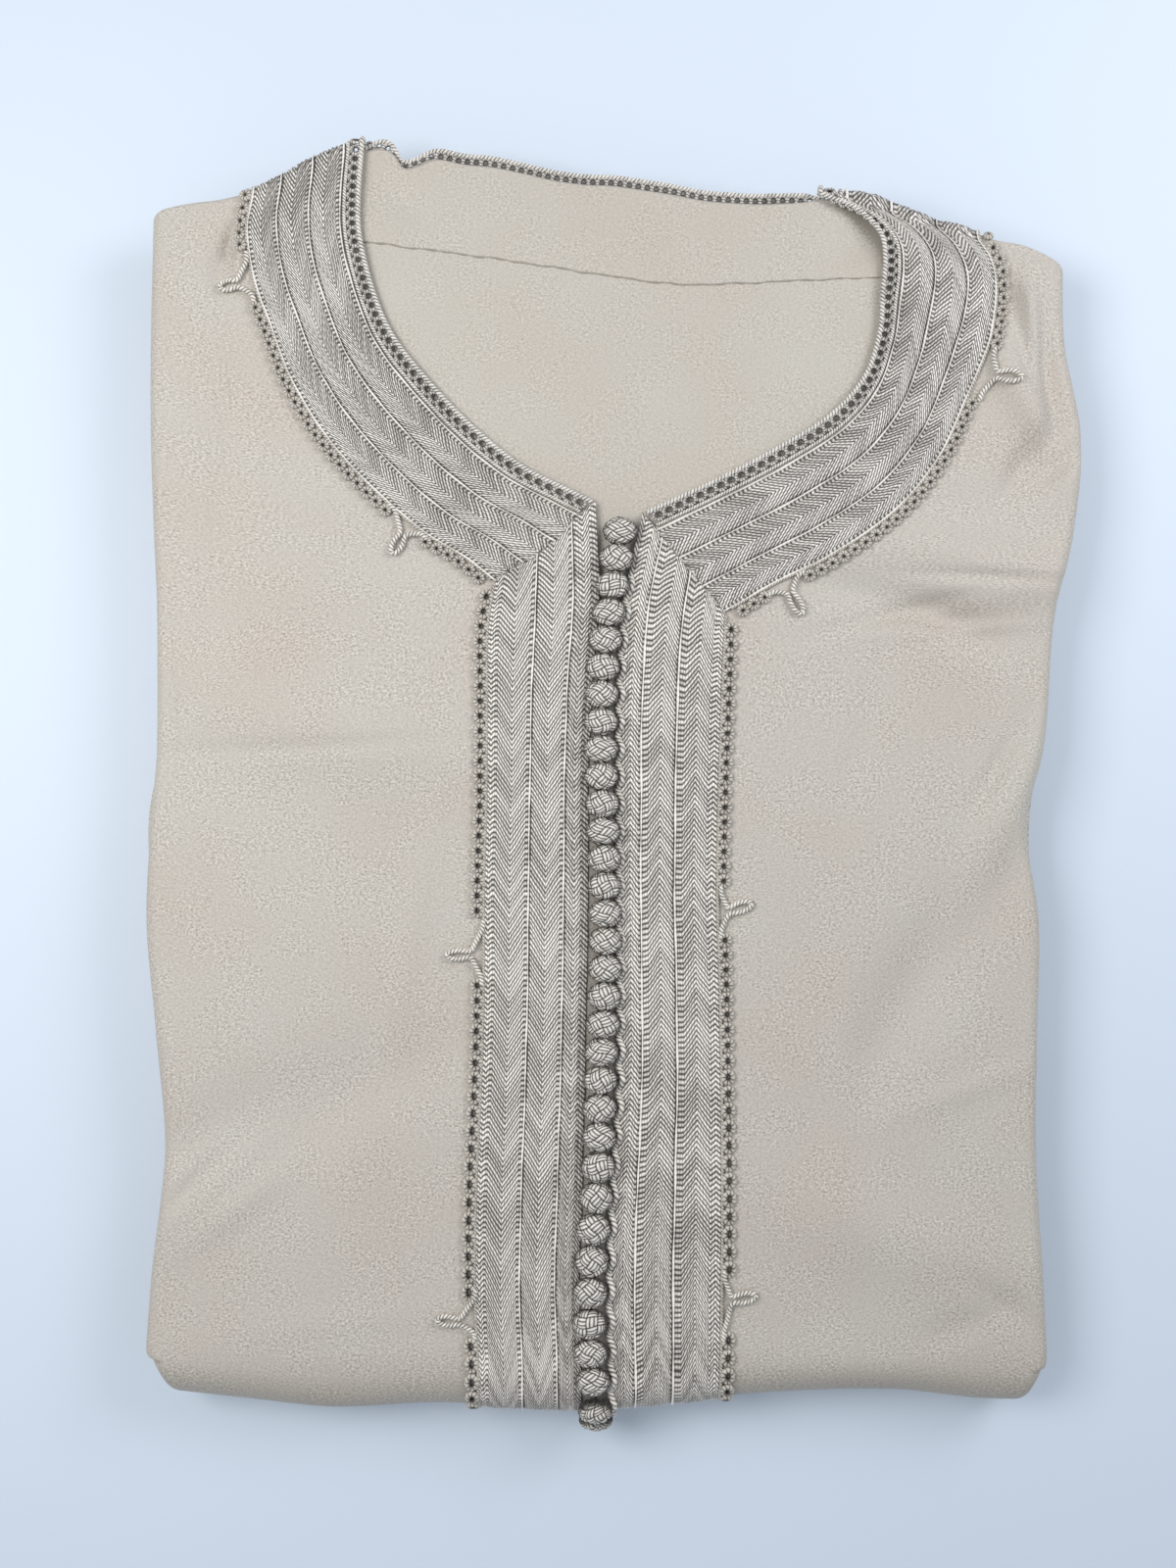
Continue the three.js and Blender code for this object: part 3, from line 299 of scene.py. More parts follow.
def front_shell(side):
    """A panel's outer face as one grid. Rows run from the shoulder seam down the front, round the lower
    fold, along the underside and into the hidden fold; columns run from the inner edge across the flat,
    round the side fold and back under. Depth under the outer face is r (1 - cos a) on the side fold."""
    flat, turns = 74, 10
    share = np.concatenate([1 - (1 - np.linspace(0, 1, flat)) ** 1.15, np.ones(turns + 3)])
    angle = np.concatenate([np.zeros(flat), np.linspace(0, np.pi, turns + 1)[1:], [np.pi] * 3])
    tuck = np.concatenate([np.zeros(flat + turns), np.array([0.33, 0.66, 1.0]) * TUCK])
    reach = side_reach[side]

    def across(x_in, y_in, side_y, turn, stand=0.0):
        out = reach(side_y) + stand
        x_end = side * (out - turn)
        x = np.where(angle > 0, side * (out - turn - tuck + turn * np.sin(angle)), mix(x_in, x_end, share))
        return x, mix(y_in, side_y, share), turn * (1 - np.cos(angle))

    def inner(y):
        return button_line(y) + side * 0.3

    # over the shoulder fold
    edge_x = mix(*SHOULDER_EDGE[side], CLOTH_EDGE)
    seam = 190 if side < 0 else 172
    rows = []
    for a in np.radians(np.linspace(88, 0, 8)):
        x, y, deep = across(edge_x, 0, seam, SIDE_TURN)
        start = shoulder_line(x) - SHOULDER_TURN
        drop = SHOULDER_TURN * (1 - np.cos(a)) * np.cos(angle / 2)
        rows.append(np.stack([x, start + SHOULDER_TURN * np.sin(a), STACK - deep - drop], -1))
    # down the front, from a table of the inner edge's x and y and the height reached on the side fold
    table = [(edge_x, shoulder_line(edge_x) - SHOULDER_TURN, seam)]
    table += [(mix(ix, ox, CLOTH_EDGE), mix(iy, oy, CLOTH_EDGE), sy) for ix, iy, ox, oy, sy in NECK[side]]
    corner = NECK[side][-1][-1]
    below = {-1: [(-6, 82), (-5.8, 70)], 1: [(8.6, 76), (5, 66)]}[side]
    table += [(*place, corner - drop) for place, drop in zip(below, (8, 20))]
    heights = [50, 28, 6, -12, -38, -66, -94, -121, -150, -175, -192]
    table += [(inner(y), y, min(y, corner - 26 - 8 * i)) for i, y in enumerate(heights)]
    table = np.array(table, float)
    steps = np.abs(np.diff(table[:, 2])) + np.linalg.norm(np.diff(table[:, :2], axis=0), axis=1)
    length = np.concatenate([[0], np.cumsum(steps)])
    fine = np.linspace(0, length[-1], 210)[1:]
    placed = (curve(np.column_stack([length, column]))(fine)[:, None] for column in table.T)
    x, y, deep = across(*placed, SIDE_TURN)
    v = (fine / length[-1])[:, None]
    first_x, first_y, _ = across(edge_x, table[0, 1], seam, SIDE_TURN)
    y = y + (shoulder_line(first_x) - SHOULDER_TURN - first_y) * (1 - smooth(v / 0.14))
    y = mix(y, end_line(x) + END_TURN, smooth((v - 0.93) / 0.07))
    z = STACK - deep + relief(x, y) * np.cos(angle / 2) ** 2
    rows += list(np.stack([x, y, z], -1))
    # round the lower fold, along the underside, and into the hidden fold
    last = inner(-206.0)
    for a in np.linspace(0, np.pi, 30)[1:]:
        x, y, deep = across(last, 0, -192 - 13 * np.sin(a), SIDE_TURN)
        y = end_line(x) + END_TURN - (END_TURN - deep) * np.sin(a)
        rows.append(np.stack([x, y, END_TURN + (END_TURN - deep) * np.cos(a)], -1))
    for y0 in np.linspace(-190, 150, 40):
        turn = mix(SIDE_TURN, 3.2, smooth((y0 - 90) / 60))
        x, y, deep = across(last, y0, y0, turn, lower_reach(y0) * smooth((y0 + 200) / 20))
        rows.append(np.stack([x, y, deep + 0 * x], -1))
    for a in np.linspace(0, np.pi, 18):
        x, y, deep = across(last, 0, 180.0, 2.4, -3)
        radius = UNDER_TURN - deep
        y = under_line(x) - UNDER_TURN + radius * np.sin(a)
        rows.append(np.stack([x, y, UNDER_TURN - radius * np.cos(a)], -1))
    return np.stack(rows)


def cloth_map(points):
    """Distances over the cloth, in metres: across each row, and along the mean of the columns."""
    across, along = walk_along(points, 1), walk_along(points).mean(1)
    return np.stack([across, np.broadcast_to(along[:, None], across.shape)], -1) * 0.001


def crepe(name, tint, shine=0.0):
    """Crepe-backed satin: a grain of crossed twists under 1 mm wide that catches light, over slow and slight
    changes of tint at random; painted shade and shadow are drawn by the attribute named seam."""
    material, shader, start = finish(name, Roughness=0.62, Sheen_Weight=0.12, Sheen_Roughness=0.4)
    place = start.node("ShaderNodeUVMap", settings={"uv_map": "cloth"})
    turned = start.node("ShaderNodeMapping", Vector=place, Rotation=(0, 0, 0.62), Scale=(1, 1.9, 1))
    grain = start.node("ShaderNodeTexNoise", Vector=turned, Scale=950.0, Detail=2.5, Roughness=0.65)
    ribs = start.node("ShaderNodeTexNoise", Vector=place, Scale=1300.0, Detail=1.0)
    slow = start.node("ShaderNodeTexNoise", Vector=place, Scale=22.0, Detail=3.0)
    speck = grain * 0.55 + ribs * 0.45
    patch = start.node("ShaderNodeTexNoise", Vector=place, Scale=60.0, Detail=2.0)
    strength = ((patch - 0.36) * 6).maths("MINIMUM", 1.0).maths("MAXIMUM", 0.5)
    # painted shade: the attribute named seam darkens the cloth where shade falls
    seam = start.node("ShaderNodeAttribute", output=2, settings={"attribute_name": "seam"})
    lift = (speck - 0.5) * strength * (3.3 - 1.6 * shine) + 0.5 + (slow - 0.5) * 0.22 - seam * 1.6
    low, high = np.array(tint) - 36, np.array(tint) + 25
    mottled = (slow - 0.5) * 1.3 + 0.5
    dark = mottled.blend(srgb(*(low + (3, -1, -2))), srgb(*(low + (-2, 1, 1))))
    light = mottled.blend(srgb(*(high + (3, -1, -2))), srgb(*(high + (-2, 1, 1))))
    feed(shader, "Base Color", lift.blend(dark, light))
    feed(shader, "Roughness", 0.74 - grain * (0.2 + shine * 0.25))
    bump = start.node("ShaderNodeBump", Strength=0.5 - 0.3 * shine, Distance=0.0003, Height=speck)
    feed(shader, "Normal", bump)
    return material


cloth = crepe("crepe_satin", (189, 182, 172))
for side, name in ((-1, "left"), (1, "right")):
    points = front_shell(side)
    x, y, z = np.moveaxis(points, -1, 0)
    # painted shade: the cloth is darkened at the lower fold and close beside the buttons, where shade falls; it goes
    # in the attribute named seam
    beside = 1 - smooth((np.abs(x - button_line(y)) - 5) / 3)
    shade = (0.16 * smooth((-184 - y) / 16) + 0.25 * beside * (y < 84)) * smooth((z - 4) / 10)
    panel = mesh_piece(
        f"front_{name}_cloth", points, grid_faces(*points.shape[:2]), [f"front_{name}"],
        uv=cloth_map(points), layers=[("seam", shade)], material=cloth, turned=side > 0,
    )
    thick = panel.modifiers.new("wall", "SOLIDIFY")
    thick.thickness, thick.offset = WALL, -1

# ---- Folded layers ----
# Sleeves, side gores, lower skirts and lower back, folded in under the fronts as three flat bundles. Only
# their rounded edges show, one above the other along both sides and at the far end.
def outline(z, inset, end_at, top_at, stands_out=True):
    """A closed ring round the bundle at height z, drawn in from the sides and between two end lines."""
    def reach(side, y):
        shift = lower_reach(y) if stands_out else np.minimum(0, lower_reach(y))
        return side * (side_reach[side](y) + shift - inset)

    y_end, y_top = end_at(np.array(0.0)), top_at(np.array(0.0))
    ends = {side: (reach(side, y_end), reach(side, y_top)) for side in (-1, 1)}
    across, along = np.linspace(0, 1, 40, False), np.linspace(0, 1, 60, False)
    low = mix(ends[-1][0], ends[1][0], across)
    right = mix(end_at(ends[1][0]), top_at(ends[1][1]), along)
    high = mix(ends[1][1], ends[-1][1], across)
    left = mix(top_at(ends[-1][1]), end_at(ends[-1][0]), along)
    x = np.concatenate([low, reach(1, right), high, reach(-1, left)])
    y = np.concatenate([end_at(low), right, top_at(high), left])
    return np.stack([x, y, np.full_like(x, z)], -1)


def loft(rings):
    """Quads through closed rings, with a fan of quads folded shut at both ends."""
    first, last = (np.broadcast_to(ring.mean(0), ring.shape) for ring in (rings[0], rings[-1]))
    rings = np.stack([first, *rings, last])
    return rings, grid_faces(*rings.shape[:2], wrap=True)


def joined(parts):
    """Puts several (points, quads) together as one mesh."""
    points, faces, count = [], [], 0
    for part, quads in parts:
        part = part.reshape(-1, 3)
        points.append(part)
        faces.append(quads + count)
        count += len(part)
    return np.concatenate(points), np.concatenate(faces)


def core_reach(radius, z):
    """Half the width of a fold's circle at height z, cleared by the cloth's wall."""
    return np.sqrt(max(0.0, (radius - 2.4) ** 2 - (z - radius) ** 2))


def core_ring(z, top_at):
    """The core's outline at height z: inside the lower fold's circle, and up to the line top_at."""
    return outline(z, 11.5, lambda x: end_line(x) + END_TURN - core_reach(END_TURN, z), top_at, stands_out=False)


def fold_start(x):
    """Just before the hidden fold beneath the shoulders."""
    return under_line(x) - UNDER_TURN - 5


# back of the neck: inner edge x and y, outer edge x and y of the band's way beneath
NECK_BACK = [
    (-77.6, 217, -108, 181), (-74, 216.2, -100.5, 177.6), (-70.6, 210.9, -93.5, 174.6),
    (-66.6, 211.4, -86.5, 172), (-59, 214.6, -77, 169.5), (-50, 213, -66, 167.5), (-40, 212, -54, 166.5),
    (-30, 209.8, -42, 165.5), (-20, 207.4, -29, 164), (-10, 206, -16, 162.5), (0, 205.6, -3, 161),
    (10, 204.2, 10, 159.5), (20, 202.6, 23, 158.2), (30, 200.6, 35, 157), (40, 199.8, 48, 156),
    (50, 199.4, 62, 155.5), (58, 199.6, 76, 157), (64, 199.6, 98, 161),
]
neck_edge = curve([(-100, 202), (-84, 206), *(row[:2] for row in NECK_BACK), (70, 199), (78, 196.5), (100, 186)])
core_rings = [
    core_ring(z, lambda x, z=z: under_line(x) - UNDER_TURN + core_reach(UNDER_TURN, z))
    for z in (1.8, 3.2, 5.6, 9, 12.4, 14.4, 15.8)
]
core_rings += [core_ring(z, fold_start) for z in (16, 17.9)]
core_rings += [core_ring(z, lambda x: np.minimum(shoulder_line(x) - 3.2, neck_edge(x) - 0.2)) for z in (18.1, 19.5)]
bundles = [loft(core_rings)]
low, thick = 9.3, 1.4  # the lowest layer edge's underside, and each layer edge's height
for k, inset in enumerate((1.6, 0.0, 1.1, 0.6, 1.9, 0.3)):
    rings = []
    for a in np.linspace(-np.pi / 2, np.pi / 2, 9):
        z = low + thick * (k + 0.5 + math.sin(a) / 2)
        ring = outline(z, inset + 1.3 * (1 - math.cos(a)), lambda x: end_line(x) + END_TURN + 1, fold_start)
        ring[:, 2] += 0.25 * np.sin(ring[:, 1] / 17 + 2.1 * k) + 0.12 * np.sin(ring[:, 1] / 6.1 + k)
        ring[:, 0] += 0.35 * np.sign(ring[:, 0]) * np.sin(ring[:, 1] / 23 + 1.7 * k)
        rings.append(ring)
    bundles.append(loft(rings))
points, faces = joined(bundles)
mesh_piece(
    "folded_bundle", points, faces, ["folded_layers"], uv=points[:, :2] * 0.001, material=cloth, turned=True,
)

# ---- Back and neck facing ----
# The back panel lies beneath the fronts with its satin side up inside the neck opening. A facing of the
# same cloth, three fingers deep, finishes its neck edge, and its seam draws the cloth in a little.
FACING_SEAM = [(-104, 184), (-83, 182), (-42, 176.6), (4.6, 169.6), (24, 167.6), (67, 169.3), (104, 171)]
seam_line = curve(FACING_SEAM)
back_edge = [(ix, mix(iy, oy, CLOTH_EDGE * 0.8)) for ix, iy, ox, oy in NECK_BACK]
neck_top = curve([(-99, 206), (-86, 211.5), (-81, 213), *back_edge, (70, 196.5), (78, 195), (88, 189.5)])
satin = crepe("satin_facing", (188, 181, 170), shine=0.7)


def back_run(x, y):
    """The run that puts a point at height y on the back's outer face."""
    return 2 * (shoulder_line(x) - SHOULDER_TURN) + np.pi * SHOULDER_TURN - y


def inner_face(x, y, rise):
    """A place on the back's inner face, 1.2 mm in from the outer one and lifted by rise towards the
    opening. It has slight dents, sinks in at both shoulders, and stays under the fronts' deep creases."""
    point = skin(x, back_run(x, y), -1.2 - rise)
    dents = 0.35 * np.sin(x / 23 + y / 40) * np.sin(y / 19) + 0.5 * bell(x, y, -40, 125, 0, 50, 16)
    hollow = 2.6 * bell(x, y, 84, 184, 36.87, 11, 8) + 1.3 * bell(x, y, -72, 196, -36.87, 10, 6)
    point[..., 2] += dents * smooth((190 - y) / 20) - hollow + np.minimum(relief(x, y) + 1.3, 0)
    return point


x = np.linspace(-136, 134, 130)[:, None]
share = np.concatenate([[0, 0.004], np.linspace(0.012, 1, 80)])[None, :]
top = np.where(np.abs(x + 6) < 78, neck_top(x), shoulder_line(x) - 3)
y = mix(top, 42, share)
pucker = np.exp(-np.abs(y - seam_line(x) + 1.5) / 3.2)
rise = -0.25 * (share < 0.002) + pucker * 0.13 * np.sin(x * 1.15 + 1.4 * np.sin(x / 5))
points = inner_face(x, y, rise)
back = mesh_piece(
    "back_panel", points, grid_faces(*points.shape[:2]), ["back"],
    uv=points[..., :2] * 0.001, material=satin, turned=True,
)
thick = back.modifiers.new("wall", "SOLIDIFY")
thick.thickness, thick.offset = WALL, -1

# the facing's lower edge turns down to its seam; a painted shadow line runs along the seam under the turned edge, and
# painted shade lies on the right end under the neck band
x = np.linspace(-97, 95, 190)[:, None]
share = np.concatenate([np.linspace(0, 0.93, 20), [0.955, 0.972, 0.984, 0.993, 1, 1, 1]])[None, :]
turn = np.concatenate([np.zeros(20), [0.02, 0.06, 0.16, 0.36, 0.62, 1, 1.3]])[None, :]
top = np.minimum(neck_top(x), shoulder_line(x) - 4.4) - 0.3
seam = seam_line(x) + 0.25 * np.sin(x / 2.3) * np.sin(x / 9)
y = mix(top, seam, share)
below_band = curve([(60, 200), (70, 198), (79.8, 193), (86, 187.5), (90, 178), (92, 160)])(x) - y
band_shade = 0.42 * smooth(1 - below_band / (3 + 3 * smooth((x - 66) / 20))) * smooth((x - 62) / 10)
pucker = np.exp(-(y - seam) / 4.0)
rise = 1.3 - 0.75 * turn + pucker * (1 - turn) * 0.16 * np.sin(x * 1.1 + 1.2 * np.sin(x / 4))
points = inner_face(x, y, rise)
# the attribute named seam carries the painted shadow line along the seam and the painted shade under the band
facing = mesh_piece(
    "neck_facing", points, grid_faces(*points.shape[:2]), ["back_neck_facing"],
    uv=points[..., :2] * 0.001 + 0.3, material=satin, turned=True,
    layers=[("seam", np.maximum(smooth((share - 0.98) / 0.01), band_shade))],
)

# ---- Braids of the neck and plackets ----
# Sfifa: flat braid of twisted silk threads in herringbone rows between bright cords, sewn on by hand in
# three strips side by side. The neck's strips are turned under where they meet the plackets' corners.
GAP, THREAD, NECK_THREAD = 0.3, 1.75, 1.55  # space under the trim, and pitch of the threads
# the plackets' inner edge x and y, and outer edge x and y, down the front
PLACKETS = {
    -1: [
        (-6, 95.4, -43.2, 65.7), (-4.9, 65, -45.9, 51.8), (-7.3, 32, -45.9, 32), (-8.5, -1, -45.9, -1),
        (-8.5, -34, -46.9, -34), (-9.1, -67, -46.9, -67), (-9.7, -100, -47.9, -100),
        (-10.5, -133, -49.5, -133), (-11.5, -166, -49.8, -166), (-10.7, -192, -48.8, -192),
    ],
    1: [
        (9.6, 91.7, 40.3, 55.1), (3.9, 65, 40.3, 45.2), (1.3, 32, 39.6, 25.4), (1.1, -1, 38.6, -1),
        (1.1, -34, 38, -34), (1.3, -67, 39, -67), (1.1, -100, 39.6, -100), (-0.9, -133, 40, -133),
        (-2.1, -166, 40, -166), (-1.5, -192, 39.6, -192),
    ],
}


class Way:
    """A trim's way over the skin: smooth edges through its rows, followed in millimetres of a middle line.
    past carries it on at both ends, by that share of the end rows' distance."""

    def __init__(self, rows, past=0.0):
        table = np.array(rows, float)
        if past:
            first, last = (table[k] + (table[k] - table[j]) * past for k, j in ((0, 1), (-1, -2)))
            table = np.concatenate([[first], table, [last]])
        self.rows = walk_along(skin((table[:, 0] + table[:, 2]) / 2, (table[:, 1] + table[:, 3]) / 2))
        self.start, self.end = (self.rows[1], self.rows[-2]) if past else (self.rows[0], self.rows[-1])
        self.edges = [curve(np.column_stack([self.rows, column])) for column in table.T]

    def __call__(self, place, share):
        place, share = np.broadcast_arrays(place, share)
        ix, i_run, ox, o_run = (edge(place) for edge in self.edges)
        return mix(ix, ox, share), mix(i_run, o_run, share)

    def measured(self, share):
        """Distance along the strip at this share: places, and the way walked to each from the start."""
        places = np.linspace(0, self.rows[-1], 2400)
        walked = walk_along(skin(*self(places, share)))
        return places, walked - np.interp(self.start, places, walked)


def placket_rows(side):
    """The placket's rows, carried on round the lower fold through 152 degrees."""
    rows = list(PLACKETS[side])
    ix, _, ox, _ = rows[-1]
    for a in np.radians(152) * np.arange(9) / 8:
        rows.append((ix, end_line(ix) + END_TURN * (1 - a), ox, end_line(ox) + END_TURN * (1 - a)))
    return rows


def shoulder_rows(side):
    """The neck band's rows over a shoulder fold, in the order of its way from left to right."""
    rows = []
    for a in np.radians([0, 36, 72, 108, 144, 180]):
        rows.append([v for x in SHOULDER_EDGE[side] for v in (x, shoulder_line(x) + SHOULDER_TURN * (a - 1))])
    return rows[:: -side]


neck_rows = [row[:4] for row in NECK[-1][::-1]] + shoulder_rows(-1)
neck_rows += [(ix, back_run(ix, iy), ox, back_run(ox, oy)) for ix, iy, ox, oy in NECK_BACK]
neck_rows += shoulder_rows(1) + [row[:4] for row in NECK[1]]
neck_way = Way(neck_rows, past=0.6)
placket_way = {side: Way(placket_rows(side)) for side in (-1, 1)}

# groups across a strip: width, columns, lean, rise above the strip, height of its threads, brightness, which also
# holds painted shade
def cord(width=0.5):
    """A bright cord along the strip."""
    return (width, 4, 0.25, 0.2, 0.4, 1.85)


def leg(width, lean):
    """One leg of a herringbone; the leg that leans back is darker, painted shade as it is turned from the light."""
    return (width, 4, lean, 0.0, 1.0, 1.0 if lean > 0 else 0.86)


def dots(width, lean=0.0, tone=0.8):
    """A narrow rank of short threads."""
    return (width, 3, lean, -0.12, 1.0, tone)


def groove(width=0.3):
    """A sunk line between two strips, painted dark with shade."""
    return (width, 2, 0.0, -0.4, 0.3, 0.4)


BRAIDS = {
    ("left", "inner"): [dots(2.0, -0.7, 0.9), leg(2.1, 1), leg(2.5, -1), groove()],
    ("left", "middle"): [cord(), dots(0.9), leg(4.7, 1), leg(4.8, -1), groove()],
    ("left", "outer"): [
        cord(), dots(1.0), leg(4.8, 1), leg(4.9, -1), dots(0.7), dots(1.2, 0.6, 0.95), dots(1.1, -0.6, 0.95),
    ],
    ("right", "inner"): [dots(1.3, 0.7), leg(2.6, -1), leg(2.4, 1), dots(0.5)],
    ("right", "middle"): [cord(), dots(1.7, -0.2, 0.85), leg(3.8, -1), leg(3.9, 1), groove(0.4)],
    ("right", "outer"): [cord(), dots(1.8), leg(3.7, -1), leg(3.9, 1), dots(1.5, -0.6, 0.95), dots(1.5, 0.6, 0.95)],
    ("neck", "inner"): [cord(), dots(1.0), leg(4.2, -1), leg(4.2, 1), groove(0.35)],
    ("neck", "middle"): [cord(), dots(0.9), leg(4.3, -1), leg(4.3, 1), groove(0.35)],
    ("neck", "outer"): [cord(), dots(0.9), leg(4.1, -1), leg(3.7, 1), dots(0.8), cord()],
}
NECK_SHARES = {"inner": (0.155, 0.404), "middle": (0.406, 0.659), "outer": (0.661, 0.9)}
PLACKET_SHARES = {"inner": (0.0, 0.204), "middle": (0.206, 0.509), "outer": (0.511, 0.895)}
# where the neck's strips end past the corner line, at each edge of the strip
CORNER = {"inner": (0.0, -3.0), "middle": (-2.6, -2.2), "outer": (-1.2, 0.0)}


def silk(name, dark, middle, light, valley=0.2, plait=0.0, sharp=1.0):
    """Twisted silk: every thread is painted light along its crown and painted dark with shade in the valleys, by the
    map's first number, which counts threads; tone is each place's brightness, which also carries painted shade.
    Across a braid the threads dip under each other every plait of the map's second number, painted darker there."""
    material, shader, start = finish(name, Roughness=0.5, Sheen_Weight=0.1, Sheen_Roughness=0.4)
    place = start.node("ShaderNodeUVMap", settings={"uv_map": "cloth"})
    count = start.node("ShaderNodeSeparateXYZ", Vector=place)
    swing = count.maths("FRACT") * 2 - 1
    crown = (1 - swing * swing).maths("POWER", sharp)
    tone = start.node("ShaderNodeAttribute", output=2, settings={"attribute_name": "tone"})
    each = start.node("ShaderNodeTexWhiteNoise", settings={"noise_dimensions": "1D"}, W=count.maths("FLOOR"))
    where = start.node("ShaderNodeTexCoord", output=3)
    fibre = start.node("ShaderNodeTexNoise", Vector=where, Scale=1900.0, Detail=2.0)
    slow = start.node("ShaderNodeTexNoise", Vector=where, Scale=45.0, Detail=2.0)
    # painted highlight and shade: light on each thread's crown, dark in its valleys
    level = (crown * (1 - valley) + valley) * tone.maths("MINIMUM", 1.0) + (tone - 1).maths("MAXIMUM", 0.0)
    # painted shade: darker where a thread dips under its neighbours
    if plait:
        walk = start.node("ShaderNodeSeparateXYZ", output=1, Vector=place) / plait + each * 0.35
        dip = ((walk.maths("FRACT") * 2 - 1).maths("ABSOLUTE") - 0.55) * 2.2
        level = level * (1 - dip.maths("MAXIMUM", 0.0) * 0.5)
    level = level + (each - 0.5) * 0.22 + (fibre - 0.5) * 0.35 + (slow - 0.5) * 0.25
    colour = start.node(
        "ShaderNodeValToRGB", settings={"stops": [(0.1, dark), (0.95, light), (0.5, middle)]}, Fac=level,
    )
    feed(shader, "Base Color", colour)
    feed(shader, "Roughness", 0.62 - crown * 0.2)
    feed(shader, "Normal", start.node("ShaderNodeBump", Strength=0.55, Distance=0.0002, Height=level))
    return material


braid_silk = silk("braid_silk", srgb(66, 61, 55), srgb(171, 164, 156), srgb(252, 246, 238), 0.02, 0.8, 1.5)
neck_silk = silk("neck_silk", srgb(62, 58, 53), srgb(146, 140, 133), srgb(241, 236, 229), 0.03, 0.9, 1.4)


def braid_strip(
    name, nodes, way, shares, groups, lean, material, pitch, start=(0.0, 0.0), past=0.0, lift=None, hidden=None,
):
    """One strip of braid, from start, which is given at both of its edges, to past beyond its way's end.
    Each row of the grid is one step of 1/3 thread; each column is shifted along the strip by its distance
    from the strip's edge times the lean, so that the rows follow the threads. Rows are held between the
    strip's ends, and quads that shrink to nothing there are left out. Where hidden, it has a third of them."""
    total = sum(group[0] for group in groups)
    scale = (shares[1] - shares[0]) / total
    # painted shade: the strip's first and last columns are sunk and darker where it meets the cloth
    columns = [(0.0, 0.0, -0.4, 0.0, 0.5)]
    at, shift = 0.0, 0.0
    for width, count, slant, rise, height, tone in groups:
        for part in np.linspace(0, 1, count):
            crown = 1 - (2 * part - 1) ** 2
            gap = 0.05 * (1 - 2 * part)
            rounded = rise + (0.12 * crown - 0.1 if height == 1.0 else 0.25 * crown)
            columns.append((at + width * part + gap, shift + slant * width * part, rounded, height, tone))
        at, shift = at + width, shift + slant * width
    columns.append((total, shift, -0.4, 0.0, 0.5))
    across, shift, rise, height, tone = (np.array(column)[None, :] for column in zip(*columns))
    share = shares[0] + across * scale
    places, walked = way.measured((shares[0] + shares[1]) / 2)
    first, last = mix(*start, across / total), walked[np.searchsorted(places, way.end) - 1] + past
    spare = 3.2 * np.abs(shift).max()
    along = np.arange(min(start) - spare, last + spare, pitch / 3)
    if hidden:
        along = along[(along <= hidden[0]) | (along >= hidden[1]) | (np.arange(len(along)) % 3 == 0)]
    along = along[:, None]
    free = along + lean(along) * shift + 0.13 * np.sin(along / 5.3 + across / 2) + 0.09 * np.sin(along / 1.9 + across)
    walk = np.clip(free, first, last)
    place = np.interp(walk, walked, places)
    share = share + scale * (0.09 * np.sin(walk / 6.3 + 3 * across) + 0.06 * np.sin(walk / 2.1 + 5 * across))
    x, run = way(place, share)
    crown = 1 - (2 * across / total - 1) ** 2
    thread = np.abs(np.sin(np.pi * along / pitch)) - 1
    h = GAP + 0.8 + 0.3 * crown + rise + 0.3 * height * thread
    if lift:
        h = h + lift(walk, first, last)
    inside = smooth((walk - first) / 0.8 + 0.15) * smooth((last - walk) / 0.8 + 0.15)
    points = skin(x, run, mix(GAP, h, inside))
    faces = grid_faces(*points.shape[:2])
    stuck = np.where(free <= first, 1, 0) + np.where(free >= last, 2, 0)
    corner = stuck.ravel()[faces]
    faces = faces[~((corner == 1).all(1) | (corner == 2).all(1))]
    uv = np.stack([np.broadcast_to(along / pitch, walk.shape), np.broadcast_to(across, walk.shape)], -1)
    mesh_piece(
        name, points, faces, nodes, uv=uv, layers=[("tone", np.broadcast_to(tone, walk.shape))],
        material=material,
    )


def neck_lift(walk, first, last):
    """The strip's turned-under ends lie on the plackets' strips."""
    return 0.95 * (smooth((first + 5 - walk) / 5) + smooth((walk - last + 5) / 5))


def neck_leaning(left_top, right_top):
    """The neck's lean: it grows up the left front, and is even over the back from shoulder to shoulder."""
    def lean(along):
        on_left = along < (left_top + right_top) / 2
        front = 1.6 + 0.9 * smooth((along - 0.25 * left_top) / (0.4 * left_top)) * on_left
        return mix(front, 1.7, smooth((along - left_top + 16) / 13) * smooth((right_top + 15 - along) / 12))

    return lean


def placket_lean(along):
    """The plackets' lean: it grows where they go round the lower fold."""
    return mix(1.6, 2.9, smooth((along - 205) / 57))


for row, shares in NECK_SHARES.items():
    places, walked = neck_way.measured(sum(shares) / 2)
    left_top, right_top = (np.interp(neck_way.rows[k], places, walked) for k in (10, -10))
    braid_strip(
        f"neck_braid_{row}_silk", [f"neck_braid_{row}"], neck_way, shares, BRAIDS["neck", row],
        neck_leaning(left_top, right_top), neck_silk, NECK_THREAD, start=CORNER[row], past=1.0,
        lift=neck_lift, hidden=(left_top + 16, right_top - 16),
    )
for side, name in ((-1, "left"), (1, "right")):
    for row, shares in PLACKET_SHARES.items():
        braid_strip(
            f"placket_braid_{name}_{row}_silk", [f"placket_braid_{name}_{row}"], placket_way[side], shares,
            BRAIDS[name, row], placket_lean, braid_silk, THREAD,
        )

